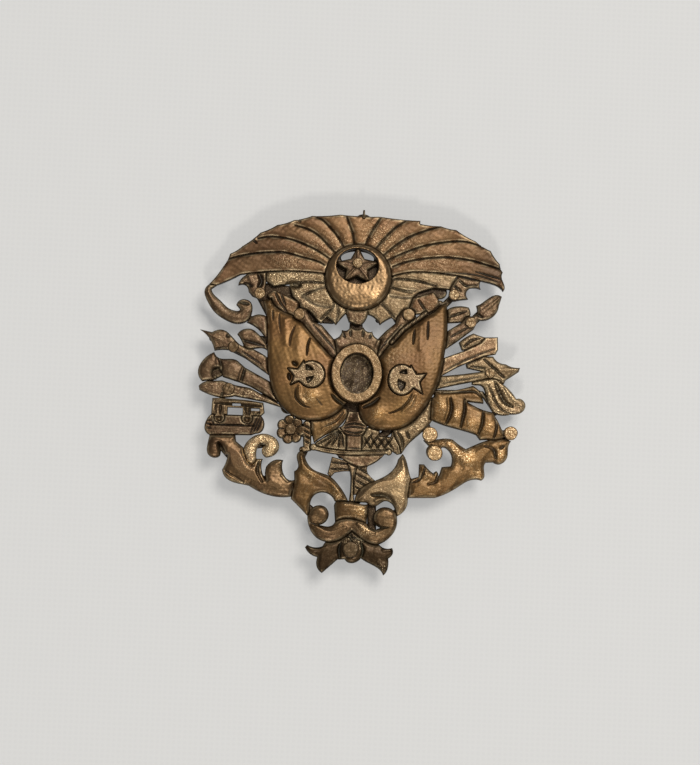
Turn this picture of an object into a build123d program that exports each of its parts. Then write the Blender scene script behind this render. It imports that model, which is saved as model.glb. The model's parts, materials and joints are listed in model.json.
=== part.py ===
from build123d import *
import os
from math import atan2, cos, degrees, radians, sin

os.makedirs("parts", exist_ok=True)

# A large pierced cap badge, lying face up. +X is the wearer's left as seen from the front,
# +Y is the badge's top, +Z comes out of its face. Z = 0 is the table under the lugs.

# Driving dimensions, in millimetres.
lug_reach = 4.4  # rear of the plate above the table
plate_thickness = 0.8
edge_height = 1.6  # weapons, leaves and rays, above the plate's front
foliage_height = 1.4
ribbon_height = 1.8
scroll_height = 2.0
clasp_height = 2.3
staff_height = 2.1
cord_height = 2.3
drape_height = 2.9
medallion_height = 3.4
star_rise = 0.2  # of the medallions' stars above their rims
crescent_height = 2.9
star_height = 2.2
collar_height = 4.4
floor_height = 0.9
rivet_shank = 0.4
rivet_head_height = 0.7
solder_gap = 0.02

plate_back = lug_reach
plate_front = plate_back + plate_thickness
front = Plane.XY.offset(plate_front)
back = Plane.XY.offset(plate_back)

# Oval setting in the middle of the badge.
setting_centre = (-0.68, 2.98)
setting_outer = (4.63, 5.33)
setting_inner = (2.95, 3.75)

# Crescent and star at the top.
crescent_centre = (-1.0, 20.5)
crescent_radius = 6.0
window_centre = (-1.25, 22.55)
window_radii = (3.72, 3.15)

# Flat-headed rivets: centre, head radius, height of the seat above the plate's front.
rivets = [
    (-18.65, 16.9, 1.05, edge_height),
    (-11.35, 13.35, 1.05, staff_height),
    (8.3, 14.05, 1.1, staff_height),
    (16.4, 18.0, 1.0, edge_height),
    (-23.0, 7.0, 1.0, edge_height),
    (-23.5, -0.6, 1.1, edge_height),
    (19.6, 13.1, 1.0, edge_height),
    (23.4, 4.1, 0.9, edge_height),
    (-1.25, 23.0, 0.95, star_height),
    (12.9, -7.4, 1.4, scroll_height),
    (13.9, -10.7, 1.4, scroll_height),
    (27.4, -6.6, 1.25, scroll_height),
    (-12.1, -7.4, 1.0, edge_height),
    (-0.55, -28.5, 1.45, scroll_height),
]

# Wire lugs behind the plate: centres of the loops, which stand across the badge.
lug_centres = [(-10.3, -3.0), (9.7, -3.0), (-0.9, 16.7)]
lug_wire = 0.5
lug_bend = 1.6
pin_wire = 0.6
pin_slit = 0.1
pin_head = -12.2
pin_tip = 12.2
pin_eye = 1.0
pin_eye_wire = 0.35

# Hanging ring and the small eye that holds it to the top edge.
hinge_x = -0.4
hinge_y = 32.3
hinge_z = 3.7
ring_bend = 1.3
ring_wire = 0.2
ring_droop = 55
eye_wire = 0.18
eye_bend = 0.45
eye_start = 31.2
eye_bead = 0.34


def outline(*runs, mode=Mode.ADD):
    """Fills a closed outline. A run of one point is a straight edge, a longer one a smooth curve."""
    start = runs[-1][-1]
    with BuildLine() as edge:
        for run in runs:
            if len(run) == 1:
                Line(start, run[0])
            else:
                Spline(start, *run)
            start = run[-1]
    make_face(edge.edges(), mode=mode)


def polygon(*corners, mode=Mode.ADD):
    """Fills a straight-sided outline."""
    with BuildLine() as edge:
        Polyline(*corners, close=True)
    make_face(edge.edges(), mode=mode)


def scallops(corners, rise):
    """Draws a shallow arc over each gap between neighbouring corners."""
    for first, second in zip(corners, corners[1:]):
        SagittaArc(first, second, rise)


def strip(start, end, width):
    """A round-ended bar between two points."""
    run = Vector(*end) - Vector(*start)
    middle = ((start[0] + end[0]) / 2, (start[1] + end[1]) / 2)
    with Locations(middle):
        SlotCenterToCenter(run.length, width, rotation=degrees(atan2(run.Y, run.X)))


def clear(*plans):
    """Takes away what lies over this piece, and the holes for the rivets' shanks."""
    for plan in plans:
        add(plan.sketch, mode=Mode.SUBTRACT)
    with Locations(*[(x, y) for x, y, radius, seat in rivets]):
        Circle(rivet_shank + solder_gap, mode=Mode.SUBTRACT)


def crown(centre, top, radius):
    """Rounds the front of a piece to a shallow dome."""
    with Locations((*centre, plate_front + top - radius)):
        Sphere(radius, mode=Mode.INTERSECT)


# Plans of the pieces that others are cut back to.
with BuildSketch() as setting_plan:
    with Locations(setting_centre):
        Ellipse(*setting_outer)

with BuildSketch() as crescent_plan:
    with Locations(crescent_centre):
        Circle(crescent_radius)

with BuildSketch() as fan_plan:
    rim = [(-27.8, 18.3), (-25.45, 21.5), (-24.3, 23.9), (-22.1, 25.4), (-18.95, 28.0), (-16.0, 29.5),
           (-13.0, 30.5), (-9.8, 31.4), (-4.7, 31.85), (2.6, 31.75), (9.85, 31.3)]
    right_rim = [(9.85, 30.75), (13.6, 30.5), (16.4, 29.9), (20.0, 27.95), (22.8, 26.3), (24.5, 24.0),
                 (25.1, 22.5)]
    with BuildLine() as fan_edge:
        scallops(rim, -0.12)
        Line(rim[-1], right_rim[0])
        scallops(right_rim, -0.12)
        Spline(right_rim[-1], (25.0, 21.3), (25.5, 20.0), (25.3, 19.05))
        Spline((25.3, 19.05), (24.4, 19.9), (22.6, 20.5), (21.2, 20.8))
        Spline((21.2, 20.8), (17.0, 21.6), (12.0, 22.0), (8.5, 21.9), (5.4, 21.1))
        Line((5.4, 21.1), (-7.4, 21.05))
        Spline((-7.4, 21.05), (-14.0, 21.2), (-20.1, 20.6), (-22.3, 20.2))
        Spline((-22.3, 20.2), (-24.7, 18.9), (-26.5, 18.1))
        Line((-26.5, 18.1), rim[0])
    make_face(fan_edge.edges())
    add(crescent_plan.sketch, mode=Mode.SUBTRACT)

with BuildSketch() as palmette_plan:
    lobes = [(-4.9, 9.2), (-3.6, 10.9), (-2.1, 11.5), (0.3, 11.5), (1.9, 10.8), (3.5, 9.4)]
    with BuildLine() as lobe_edge:
        scallops(lobes, -0.4)
        Polyline(lobes[-1], (2.6, 5.0), (-4.0, 5.0), lobes[0])
    make_face(lobe_edge.edges())
    add(setting_plan.sketch, mode=Mode.SUBTRACT)

with BuildSketch() as left_staff_plan:
    polygon((-12.3, 12.9), (-10.8, 11.9), (-8.2, 8.9), (-5.7, 6.3), (-3.6, 4.5), (-2.2, 6.6), (-4.8, 9.0),
            (-7.2, 11.6), (-8.9, 12.3), (-10.2, 14.4), (-11.6, 14.6))
    add(setting_plan.sketch, mode=Mode.SUBTRACT)
    add(palmette_plan.sketch, mode=Mode.SUBTRACT)

with BuildSketch() as staff_cord_plan:
    for first, second in [((11.4, 14.5), (9.0, 12.6)), ((9.0, 12.6), (7.4, 11.3)), ((7.4, 11.3), (5.4, 8.9))]:
        strip(first, second, 0.8)

with BuildSketch() as right_staff_plan:
    polygon((7.2, 14.8), (6.3, 13.6), (5.9, 12.4), (4.2, 10.9), (2.4, 8.9), (1.0, 7.0), (2.6, 5.0), (4.7, 8.0),
            (6.6, 10.4), (9.6, 13.2), (9.4, 14.8), (8.4, 15.3))
    add(setting_plan.sketch, mode=Mode.SUBTRACT)
    add(palmette_plan.sketch, mode=Mode.SUBTRACT)
    add(staff_cord_plan.sketch, mode=Mode.SUBTRACT)

with BuildSketch() as left_drape_plan:
    outline(
        [(-17.2, 12.3), (-16.9, 7.0), (-16.2, 1.2), (-14.0, -3.2), (-11.0, -5.3), (-8.0, -5.65), (-5.4, -5.0),
         (-3.4, -3.6)],
        [(-2.0, -2.0)],
        [(-1.5, 4.0)],
        [(-5.7, 6.3)],
        [(-8.2, 8.9)],
        [(-10.8, 12.5)],
        [(-12.2, 13.1)],
        [(-13.8, 13.7), (-15.3, 14.5), (-16.5, 16.2)],
        [(-18.1, 15.9)],
    )
    add(setting_plan.sketch, mode=Mode.SUBTRACT)
    add(left_staff_plan.sketch, mode=Mode.SUBTRACT)

with BuildSketch() as right_drape_plan:
    outline(
        [(15.5, 12.5), (15.0, 6.5), (13.8, 1.0), (11.9, -2.5), (9.0, -5.7), (5.5, -6.95), (2.2, -6.5), (0.0, -3.6)],
        [(-0.3, -1.5)],
        [(1.5, 5.0)],
        [(4.7, 8.1)],
        [(8.0, 12.0)],
        [(11.6, 14.2)],
        [(13.0, 15.1), (13.9, 16.2)],
        [(15.2, 16.7)],
    )
    for other in (setting_plan, right_staff_plan, staff_cord_plan):
        add(other.sketch, mode=Mode.SUBTRACT)


def star(centre, points, waist):
    """Fills a five-pointed star from its tips, drawn in to a share of their reach between them."""
    corners = []
    for first, second in zip(points, points[1:] + points[:1]):
        middle = ((first[0] + second[0]) / 2, (first[1] + second[1]) / 2)
        corners.append(first)
        corners.append(tuple(c + waist * (m - c) for c, m in zip(centre, middle)))
    polygon(*corners)


with BuildSketch() as left_star_plan:
    star((-10.9, 2.3), [(-13.1, 3.5), (-12.5, 0.5), (-9.6, 0.3), (-7.9, 2.8), (-10.2, 5.0)], 0.55)

with BuildSketch() as left_medal_plan:
    with Locations((-8.75, 2.55)):
        Circle(2.4)

with BuildSketch() as right_star_plan:
    star((9.6, 2.1), [(11.9, 3.5), (11.3, -0.2), (7.8, -0.3), (6.5, 2.9), (9.0, 4.9)], 0.55)

with BuildSketch() as right_medal_plan:
    with Locations((7.45, 2.2)):
        Ellipse(2.45, 2.75)

with BuildSketch() as acanthus_left_plan:
    outline(
        [(-10.8, -12.5), (-10.5, -13.8), (-11.2, -14.9)],
        [(-11.1, -16.4)],
        [(-11.6, -19.8)],
        [(-10.3, -21.0), (-8.5, -22.8)],
        [(-8.1, -21.6), (-8.0, -20.2), (-7.2, -18.9), (-5.6, -18.5), (-4.3, -19.1), (-3.7, -20.0)],
        [(-1.2, -20.0)],
        [(-2.0, -18.5), (-3.2, -16.9), (-4.8, -15.5), (-7.8, -14.4), (-9.1, -12.8), (-9.4, -11.6)],
        [(-10.1, -11.1)],
    )

with BuildSketch() as acanthus_right_plan:
    outline(
        [(8.9, -12.2), (9.3, -13.6), (9.9, -15.4)],
        [(9.6, -16.4)],
        [(9.4, -18.9)],
        [(9.2, -20.6), (7.5, -22.3)],
        [(7.2, -21.2), (6.6, -20.1), (5.4, -19.6), (4.2, -20.3), (2.4, -20.3)],
        [(1.9, -20.0)],
        [(-0.15, -20.0)],
        [(0.5, -18.0), (2.0, -16.7), (5.2, -15.1), (6.9, -13.4), (7.4, -12.0)],
        [(8.2, -11.0)],
    )

with BuildSketch() as bow_string_plan:
    with BuildLine() as bow_string_edge:
        Spline((-7.9, -10.0), (-4.5, -10.65), (0.0, -10.75), (5.7, -10.4))
        Line((5.7, -10.4), (5.7, -11.2))
        Spline((5.7, -11.2), (0.0, -11.55), (-4.5, -11.5), (-7.9, -10.9))
        Line((-7.9, -10.9), (-7.9, -10.0))
    make_face(bow_string_edge.edges())
    with Locations((-7.9, -10.4)):
        Circle(0.62)
    with Locations((5.7, -10.8)):
        Circle(0.58)

with BuildSketch() as volute_plan:
    outline(
        [(-19.9, -10.0), (-18.7, -8.9), (-17.0, -8.35), (-15.4, -8.7), (-14.2, -9.8), (-14.1, -11.1),
         (-15.0, -12.2), (-16.4, -12.6)],
        [(-17.1, -11.8), (-16.7, -10.4)],
        [(-17.7, -10.6), (-18.1, -11.7), (-18.0, -12.9)],
        [(-19.0, -13.9), (-20.0, -12.6), (-20.4, -11.0)],
    )

with BuildSketch() as clasp_plan:
    outline(
        [(-3.6, -20.15), (-0.6, -19.95), (2.3, -20.2)],
        [(2.2, -23.7)],
        [(0.4, -23.15), (-1.2, -22.95), (-3.5, -23.65)],
        [(-3.8, -20.7)],
    )

with BuildSketch() as lower_scroll_plan:
    outline(
        [(-8.1, -24.8), (-7.0, -26.4), (-5.0, -27.3)],
        [(-3.4, -27.2), (-1.8, -26.4), (-0.4, -25.2)],
        [(1.0, -26.3), (2.6, -27.2), (4.3, -27.5)],
        [(6.0, -26.5), (7.3, -24.8), (7.6, -22.6)],
        [(6.9, -21.2), (5.2, -20.7), (3.8, -21.4), (3.3, -22.7), (3.8, -23.9), (4.7, -24.4)],
        [(3.6, -24.75), (2.7, -24.4), (2.2, -23.7)],
        [(2.0, -22.6)],
        [(-3.3, -22.6)],
        [(-3.5, -23.65)],
        [(-4.5, -24.5), (-5.8, -24.4), (-6.9, -24.2)],
        [(-5.5, -24.0), (-4.65, -22.5), (-5.3, -21.1), (-6.6, -20.8), (-7.8, -21.4), (-8.5, -22.8)],
    )

with BuildSketch() as tab_plan:
    outline(
        [(-2.4, 12.4)],
        [(-1.6, 12.15)],
        [(0.0, 12.1), (0.7, 13.0), (1.0, 13.9)],
        [(0.8, 15.5)],
        [(-2.9, 15.5)],
        [(-3.0, 13.9)],
    )

with BuildSketch() as board_plan:
    polygon((14.0, 6.2), (19.0, 8.2), (21.6, 9.6), (22.4, 10.6), (24.6, 10.7), (24.7, 8.4), (24.3, 7.6),
            (22.3, 7.2), (17.5, 5.0), (14.0, 2.9))

with BuildSketch() as shield_plan:
    outline(
        [(-21.9, 10.0), (-20.6, 10.5), (-19.2, 10.1)],
        [(-18.0, 9.0), (-16.8, 7.5)],
        [(-16.8, 6.6)],
        [(-18.0, 7.1), (-19.3, 6.9), (-21.2, 7.3)],
        [(-21.8, 8.6), (-22.4, 9.4)],
    )

with BuildSketch() as spear_right_plan:
    outline(
        [(24.2, 18.4), (22.0, 17.2), (20.5, 16.3)],
        [(20.6, 15.0), (20.0, 14.4)],
        [(18.8, 14.2)],
        [(18.0, 13.2)],
        [(15.0, 11.2)],
        [(15.0, 8.0)],
        [(17.1, 9.5)],
        [(20.2, 12.0)],
        [(21.0, 13.7)],
        [(22.2, 13.7), (23.6, 14.4), (24.6, 16.4)],
        [(25.1, 18.1)],
    )

with BuildSketch() as cornucopia_plan:
    outline(
        [(15.5, -0.45), (18.3, -0.5)],
        [(20.8, -1.9), (22.6, -2.6), (24.2, -2.9)],
        [(25.4, -5.0), (26.5, -7.2)],
        [(25.9, -7.6), (24.0, -7.9), (22.0, -8.0)],
        [(21.3, -7.1)],
        [(18.0, -6.2), (15.5, -5.6), (12.9, -4.6)],
        [(13.0, -0.6)],
    )

with BuildSketch() as hem_right_plan:
    outline(
        [(13.8, -2.0), (13.6, -4.0), (12.3, -6.2), (10.2, -8.2), (8.6, -10.0)],
        [(8.0, -11.0)],
        [(7.3, -9.2), (6.6, -7.9), (6.2, -6.6)],
        [(7.6, -5.4)],
        [(12.2, -0.6)],
        [(13.3, -0.6)],
    )
    add(right_drape_plan.sketch, mode=Mode.SUBTRACT)

with BuildSketch() as hem_left_plan:
    outline(
        [(-8.4, -7.2), (-7.8, -9.7)],
        [(-6.0, -8.3), (-4.0, -7.0), (-2.5, -5.5), (-1.9, -4.0)],
        [(-2.2, -3.2)],
        [(-3.4, -3.0)],
        [(-8.5, -5.0)],
    )
    add(left_drape_plan.sketch, mode=Mode.SUBTRACT)
    add(setting_plan.sketch, mode=Mode.SUBTRACT)

with BuildSketch() as capital_plan:
    outline(
        [(0.0, -3.7)],
        [(0.5, -5.0), (1.7, -6.2)],
        [(1.2, -7.4), (0.8, -8.1)],
        [(0.75, -10.9)],
        [(-2.0, -10.9)],
        [(-2.05, -8.1)],
        [(-3.2, -6.8)],
        [(-2.4, -5.5), (-2.0, -3.7)],
    )
    for other in (hem_left_plan, right_drape_plan, bow_string_plan):
        add(other.sketch, mode=Mode.SUBTRACT)

with BuildSketch() as balance_plan:
    polygon((-26.4, -2.3), (-24.9, -2.2), (-20.0, -2.45), (-17.2, -2.8), (-16.9, -4.6), (-17.5, -5.2), (-26.5, -5.2))

with BuildSketch() as book_plan:
    outline(
        [(-17.5, -5.2)],
        [(-16.9, -6.2), (-17.1, -7.7), (-18.4, -8.4)],
        [(-19.2, -8.7)],
        [(-26.6, -8.95)],
        [(-27.5, -8.1), (-27.4, -6.5), (-26.5, -5.2)],
    )

with BuildSketch() as limb_plan:
    outline([(-4.4, -11.2)], [(-1.5, -13.0), (0.6, -13.7), (2.6, -13.2), (4.9, -11.3)], [(5.0, -11.0)])

with BuildSketch() as stem_plan:
    outline(
        [(-1.5, -13.0)],
        [(0.2, -13.0)],
        [(-0.3, -15.5), (-0.15, -20.0)],
        [(-1.2, -20.0)],
        [(-1.0, -15.8), (-1.4, -13.9), (-1.7, -13.2)],
    )
    for other in (limb_plan, clasp_plan, acanthus_left_plan, acanthus_right_plan):
        add(other.sketch, mode=Mode.SUBTRACT)

# The middle of the badge.
with BuildPart() as setting_collar:
    with BuildSketch(front):
        with Locations(setting_centre):
            Ellipse(*setting_outer)
            Ellipse(*setting_inner, mode=Mode.SUBTRACT)
    extrude(amount=collar_height)
    chamfer(setting_collar.faces().sort_by(Axis.Z)[-1].edges(), length=0.18)

with BuildPart() as setting_floor:
    with BuildSketch(front):
        with Locations(setting_centre):
            Ellipse(*[radius - solder_gap for radius in setting_inner])
    extrude(amount=floor_height)

with BuildPart() as palmette:
    with BuildSketch(front):
        add(palmette_plan.sketch)
    extrude(amount=staff_height)

with BuildPart() as left_staff:
    with BuildSketch(front):
        add(left_staff_plan.sketch)
        clear()
    extrude(amount=staff_height)

with BuildPart() as right_staff:
    with BuildSketch(front):
        add(right_staff_plan.sketch)
        clear()
    extrude(amount=staff_height)

with BuildPart() as staff_cord:
    with BuildSketch(front):
        add(staff_cord_plan.sketch)
        clear(setting_plan, palmette_plan)
    extrude(amount=cord_height)

# Drapes with their hems and medallions.
with BuildPart() as left_drape:
    with BuildSketch(front):
        add(left_drape_plan.sketch)
        clear(left_star_plan, left_medal_plan)
    extrude(amount=drape_height)
    crown((-9.5, 2.5), drape_height, 60)

with BuildPart() as right_drape:
    with BuildSketch(front):
        add(right_drape_plan.sketch)
        clear(right_star_plan, right_medal_plan)
    extrude(amount=drape_height)
    crown((8.0, 2.5), drape_height, 60)

with BuildPart() as left_hem:
    with BuildSketch(front):
        add(hem_left_plan.sketch)
    extrude(amount=edge_height)

with BuildPart() as right_hem:
    with BuildSketch(front):
        add(hem_right_plan.sketch)
        clear(cornucopia_plan)
    extrude(amount=scroll_height)

with BuildPart() as left_medallion:
    with BuildSketch(front):
        add(left_medal_plan.sketch)
        outline([(-8.9, 3.95), (-8.3, 3.3)], [(-9.8, 3.2)], [(-9.9, 4.3)], mode=Mode.SUBTRACT)
        outline([(-8.3, 2.3)], [(-8.7, 1.5), (-9.4, 0.9)], [(-9.8, 1.9)], mode=Mode.SUBTRACT)
    extrude(amount=medallion_height)
    with BuildSketch(front):
        add(left_star_plan.sketch)
    extrude(amount=medallion_height + star_rise)

with BuildPart() as right_medallion:
    with BuildSketch(front):
        add(right_medal_plan.sketch)
        outline([(8.2, 1.7)], [(7.9, 0.6), (7.4, 0.1)], [(6.8, 1.0), (6.8, 2.3)], mode=Mode.SUBTRACT)
        outline([(8.4, 3.2)], [(8.3, 4.1)], [(7.5, 3.9), (6.9, 3.3)], mode=Mode.SUBTRACT)
    extrude(amount=medallion_height)
    with BuildSketch(front):
        add(right_star_plan.sketch)
    extrude(amount=medallion_height + star_rise)

# The fan of rays, its crescent and star.
with BuildPart() as top_crescent:
    with BuildSketch(front):
        add(crescent_plan.sketch)
        with Locations(window_centre):
            Ellipse(*window_radii, mode=Mode.SUBTRACT)
    extrude(amount=crescent_height)
    crown((-1.0, 19.0), crescent_height, 16)

with BuildPart() as top_star:
    with BuildSketch(front):
        star((-1.25, 22.7), [(-1.25, 26.2), (-5.4, 23.1), (-3.7, 19.4), (1.2, 19.4), (2.9, 23.4)], 0.60)
        with Locations(window_centre):
            Ellipse(*window_radii, mode=Mode.INTERSECT)
        clear()
    extrude(amount=star_height)

with BuildPart() as ray_fan:
    with BuildSketch(front):
        add(fan_plan.sketch)
        clear()
    extrude(amount=edge_height)

with BuildPart() as left_rays:
    with BuildSketch(front):
        outline(
            [(-14.0, 21.2), (-17.6, 20.85)],
            [(-17.6, 19.2)],
            [(-16.2, 18.3)],
            [(-13.4, 18.9)],
            [(-13.2, 18.0), (-12.6, 16.5)],
            [(-11.5, 15.5)],
            [(-11.2, 14.6)],
            [(-9.4, 13.9), (-8.4, 12.7)],
            [(-7.4, 11.9)],
            [(-6.4, 13.2)],
            [(-5.4, 12.4)],
            [(-4.7, 11.8)],
            [(-4.2, 12.5), (-3.0, 13.9)],
            [(-2.9, 16.0)],
            [(-6.5, 20.0)],
            [(-7.4, 21.05)],
        )
        clear(crescent_plan, fan_plan, tab_plan, left_staff_plan)
    extrude(amount=edge_height)

with BuildPart() as right_rays:
    with BuildSketch(front):
        outline(
            [(8.5, 21.9), (12.0, 22.0), (17.0, 21.6)],
            [(16.2, 20.2)],
            [(15.6, 19.0)],
            [(12.8, 19.2)],
            [(10.2, 18.3)],
            [(9.0, 17.25)],
            [(8.4, 15.3)],
            [(6.0, 13.0)],
            [(5.3, 13.5)],
            [(4.4, 13.0), (3.2, 12.1)],
            [(2.4, 13.2), (1.0, 13.9)],
            [(0.8, 16.0)],
            [(4.0, 20.0)],
            [(5.4, 21.1)],
        )
        clear(crescent_plan, fan_plan, tab_plan, right_staff_plan, staff_cord_plan)
    extrude(amount=edge_height)

with BuildPart() as centre_tab:
    with BuildSketch(front):
        add(tab_plan.sketch)
        clear(crescent_plan, palmette_plan)
    extrude(amount=scroll_height)

with BuildPart() as fan_hook:
    with BuildSketch(front):
        outline(
            [(-28.65, 16.9), (-28.0, 15.1), (-26.6, 13.2), (-24.6, 11.9), (-22.4, 11.3), (-20.6, 12.0),
             (-19.9, 13.6), (-20.2, 15.3), (-21.4, 15.8), (-22.8, 14.7)],
            [(-22.2, 13.7), (-23.6, 13.8), (-25.7, 15.4), (-27.1, 16.7), (-27.4, 17.4)],
            [(-26.5, 18.1)],
            [(-27.8, 18.3)],
        )
        clear()
    extrude(amount=edge_height)

with BuildPart() as hook_claw:
    with BuildSketch(front):
        outline(
            [(-21.7, 19.9), (-22.4, 19.0), (-22.6, 18.3)],
            [(-21.2, 18.3), (-20.7, 17.2)],
            [(-20.0, 16.4)],
            [(-18.2, 15.7)],
            [(-17.6, 17.4)],
            [(-17.6, 20.85)],
            [(-20.5, 20.6)],
        )
        clear(left_drape_plan, fan_plan)
    extrude(amount=edge_height)

with BuildPart() as end_leaf:
    with BuildSketch(front):
        outline(
            [(19.2, 21.1), (21.2, 20.8)],
            [(21.0, 19.9), (21.2, 19.3)],
            [(20.2, 19.5), (19.2, 19.4)],
            [(18.6, 18.2), (19.0, 17.4)],
            [(17.6, 17.2)],
            [(16.4, 16.9)],
            [(15.4, 17.6)],
            [(15.6, 19.0)],
            [(16.2, 20.2)],
            [(17.0, 21.55)],
        )
        clear(right_drape_plan, fan_plan)
    extrude(amount=edge_height)

# Small leaves and pennons beside the drapes.
with BuildPart() as left_pennon:
    with BuildSketch(front):
        polygon((-16.2, 17.7), (-14.8, 17.2), (-12.2, 16.0), (-11.5, 15.5), (-11.6, 14.6), (-12.3, 12.95), (-13.9, 13.5),
                (-15.3, 14.1), (-16.7, 15.95), (-17.4, 16.8))
        clear(left_drape_plan, left_staff_plan)
    extrude(amount=edge_height)

with BuildPart() as right_pennon:
    with BuildSketch(front):
        polygon((9.0, 17.2), (12.7, 18.5), (13.6, 17.4), (13.9, 16.3), (13.0, 15.2), (11.4, 14.4), (9.6, 14.3),
                (8.4, 15.3))
        clear(right_drape_plan, right_staff_plan, staff_cord_plan)
    extrude(amount=edge_height)

with BuildPart() as left_leaf:
    with BuildSketch(front):
        outline(
            [(-20.0, 12.6)],
            [(-19.0, 13.1), (-18.0, 13.1), (-17.0, 12.7)],
            [(-16.9, 9.2)],
            [(-17.4, 9.0)],
            [(-18.6, 10.4), (-20.8, 11.6)],
        )
        clear(left_drape_plan)
    extrude(amount=edge_height)

with BuildPart() as right_leaf:
    with BuildSketch(front):
        outline(
            [(15.6, 15.6), (17.5, 16.1), (19.2, 15.9)],
            [(19.5, 14.4), (17.4, 13.1)],
            [(15.0, 12.9)],
            [(15.0, 15.2)],
        )
        clear(right_drape_plan, spear_right_plan)
    extrude(amount=edge_height)

with BuildPart() as left_shield:
    with BuildSketch(front):
        add(shield_plan.sketch)
        clear(left_drape_plan)
    extrude(amount=edge_height)

# Weapons on the left, from the top down.
with BuildPart() as spear_left:
    with BuildSketch(front):
        outline(
            [(-27.0, 9.6)],
            [(-24.0, 9.6), (-22.6, 8.2), (-21.6, 7.4)],
            [(-18.9, 6.6), (-16.4, 5.1)],
            [(-15.9, 1.9)],
            [(-22.0, 5.9)],
            [(-24.2, 6.5), (-26.4, 6.3)],
            [(-27.2, 8.2), (-29.1, 10.0)],
        )
        clear(left_drape_plan, shield_plan)
    extrude(amount=edge_height)

with BuildPart() as mace:
    with BuildSketch(front):
        outline(
            [(-29.2, 2.4), (-28.3, 4.6), (-26.4, 6.0)],
            [(-25.2, 4.9), (-23.6, 4.9), (-22.0, 4.5)],
            [(-20.7, 3.4)],
            [(-15.6, 0.8)],
            [(-14.2, -2.8)],
            [(-19.6, 0.0)],
            [(-21.6, 0.7)],
            [(-24.7, 1.6)],
            [(-25.3, 3.2)],
            [(-26.5, 2.7), (-26.5, 1.7), (-25.8, 1.1)],
            [(-28.4, 0.7)],
        )
        clear(left_drape_plan)
    extrude(amount=edge_height)

with BuildPart() as dagger:
    with BuildSketch(front):
        outline(
            [(-28.4, 0.35), (-26.5, 0.85), (-24.8, 0.95)],
            [(-22.4, 0.2)],
            [(-19.8, -0.15)],
            [(-14.2, -2.9)],
            [(-13.6, -3.6)],
            [(-17.2, -2.6)],
            [(-22.5, -1.8)],
            [(-25.0, -2.1), (-27.2, -1.6), (-28.8, -0.9)],
            [(-28.95, -0.2)],
        )
        clear(left_drape_plan)
    extrude(amount=edge_height)

# Balance with its book, rosette and stem.
with BuildPart() as balance:
    with BuildSketch(front):
        add(balance_plan.sketch)
        with Locations((-22.2, -4.5)):
            Rectangle(2.7, 1.3, mode=Mode.SUBTRACT)
        with Locations((-22.0, -3.3), (-18.6, -4.1)):
            Rectangle(1.5, 0.45, mode=Mode.SUBTRACT)
        clear()
    extrude(amount=edge_height)
    with BuildSketch(front):
        for pan_x in (-25.0, -20.0):
            with Locations((pan_x, -5.7)):
                Circle(0.95)
    extrude(amount=edge_height)

with BuildPart() as law_book:
    with BuildSketch(front):
        add(book_plan.sketch)
        with Locations((-25.0, -5.7), (-20.0, -5.7)):
            Circle(0.95, mode=Mode.SUBTRACT)
    extrude(amount=edge_height)

with BuildPart() as rosette:
    with BuildSketch(front):
        with Locations((-12.1, -7.4)):
            with PolarLocations(1.6, 7, start_angle=100):
                Circle(1.05)
            Circle(1.4)
        clear(left_drape_plan)
        strip((-9.2, -6.4), (-9.0, -10.4), 1.5)
        strip((-9.9, -10.9), (-8.6, -10.6), 1.1)
        clear(left_drape_plan, hem_left_plan, bow_string_plan, acanthus_left_plan)
    extrude(amount=edge_height)

# Capital, foliage, bow and stem below the drapes.
with BuildPart() as capital:
    with BuildSketch(front):
        add(capital_plan.sketch)
    extrude(amount=edge_height)

with BuildPart() as foliage_left:
    with BuildSketch(front):
        polygon((-8.2, -10.3), (-7.4, -9.4), (-3.4, -6.6), (-2.8, -6.4), (-1.8, -8.3), (-1.8, -11.0), (-7.6, -10.8))
        outline(
            [(-1.2, -12.8)],
            [(-1.2, -14.5)],
            [(-2.6, -14.6), (-3.9, -14.9)],
            [(-4.6, -15.7)],
            [(-5.2, -15.1)],
            [(-4.9, -13.8), (-4.5, -12.0)],
        )
        clear(capital_plan, hem_left_plan, bow_string_plan, limb_plan, stem_plan, acanthus_left_plan)
    extrude(amount=foliage_height)

with BuildPart() as foliage_right:
    with BuildSketch(front):
        polygon((0.7, -7.9), (1.4, -6.5), (2.2, -6.3), (3.9, -6.8), (4.0, -8.0), (5.9, -8.0), (6.2, -6.9), (7.4, -8.9),
                (8.0, -11.0), (7.2, -11.2), (6.2, -10.6), (0.7, -11.0))
        outline(
            [(2.3, -13.1)],
            [(1.9, -14.2), (2.9, -15.6), (3.6, -16.1)],
            [(1.6, -17.2)],
            [(0.3, -18.6)],
            [(-0.6, -18.8)],
            [(-0.7, -13.0)],
        )
        clear(capital_plan, hem_right_plan, right_drape_plan, bow_string_plan)
        clear(limb_plan, stem_plan, acanthus_right_plan)
    extrude(amount=foliage_height)

with BuildPart() as bow_string:
    with BuildSketch(front):
        add(bow_string_plan.sketch)
        clear(hem_left_plan)
    extrude(amount=edge_height)

with BuildPart() as bow_limb:
    with BuildSketch(front):
        add(limb_plan.sketch)
        clear(bow_string_plan)
    extrude(amount=edge_height)

with BuildPart() as stem:
    with BuildSketch(front):
        add(stem_plan.sketch)
    extrude(amount=edge_height)

# Scrolls and big leaves round the lower edge.
with BuildPart() as acanthus_left:
    with BuildSketch(front):
        add(acanthus_left_plan.sketch)
    extrude(amount=scroll_height)
    crown((-7.5, -16.5), scroll_height, 45)

with BuildPart() as acanthus_right:
    with BuildSketch(front):
        add(acanthus_right_plan.sketch)
    extrude(amount=scroll_height)
    crown((6.0, -16.5), scroll_height, 45)

with BuildPart() as volute:
    with BuildSketch(front):
        add(volute_plan.sketch)
    extrude(amount=scroll_height)

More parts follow.
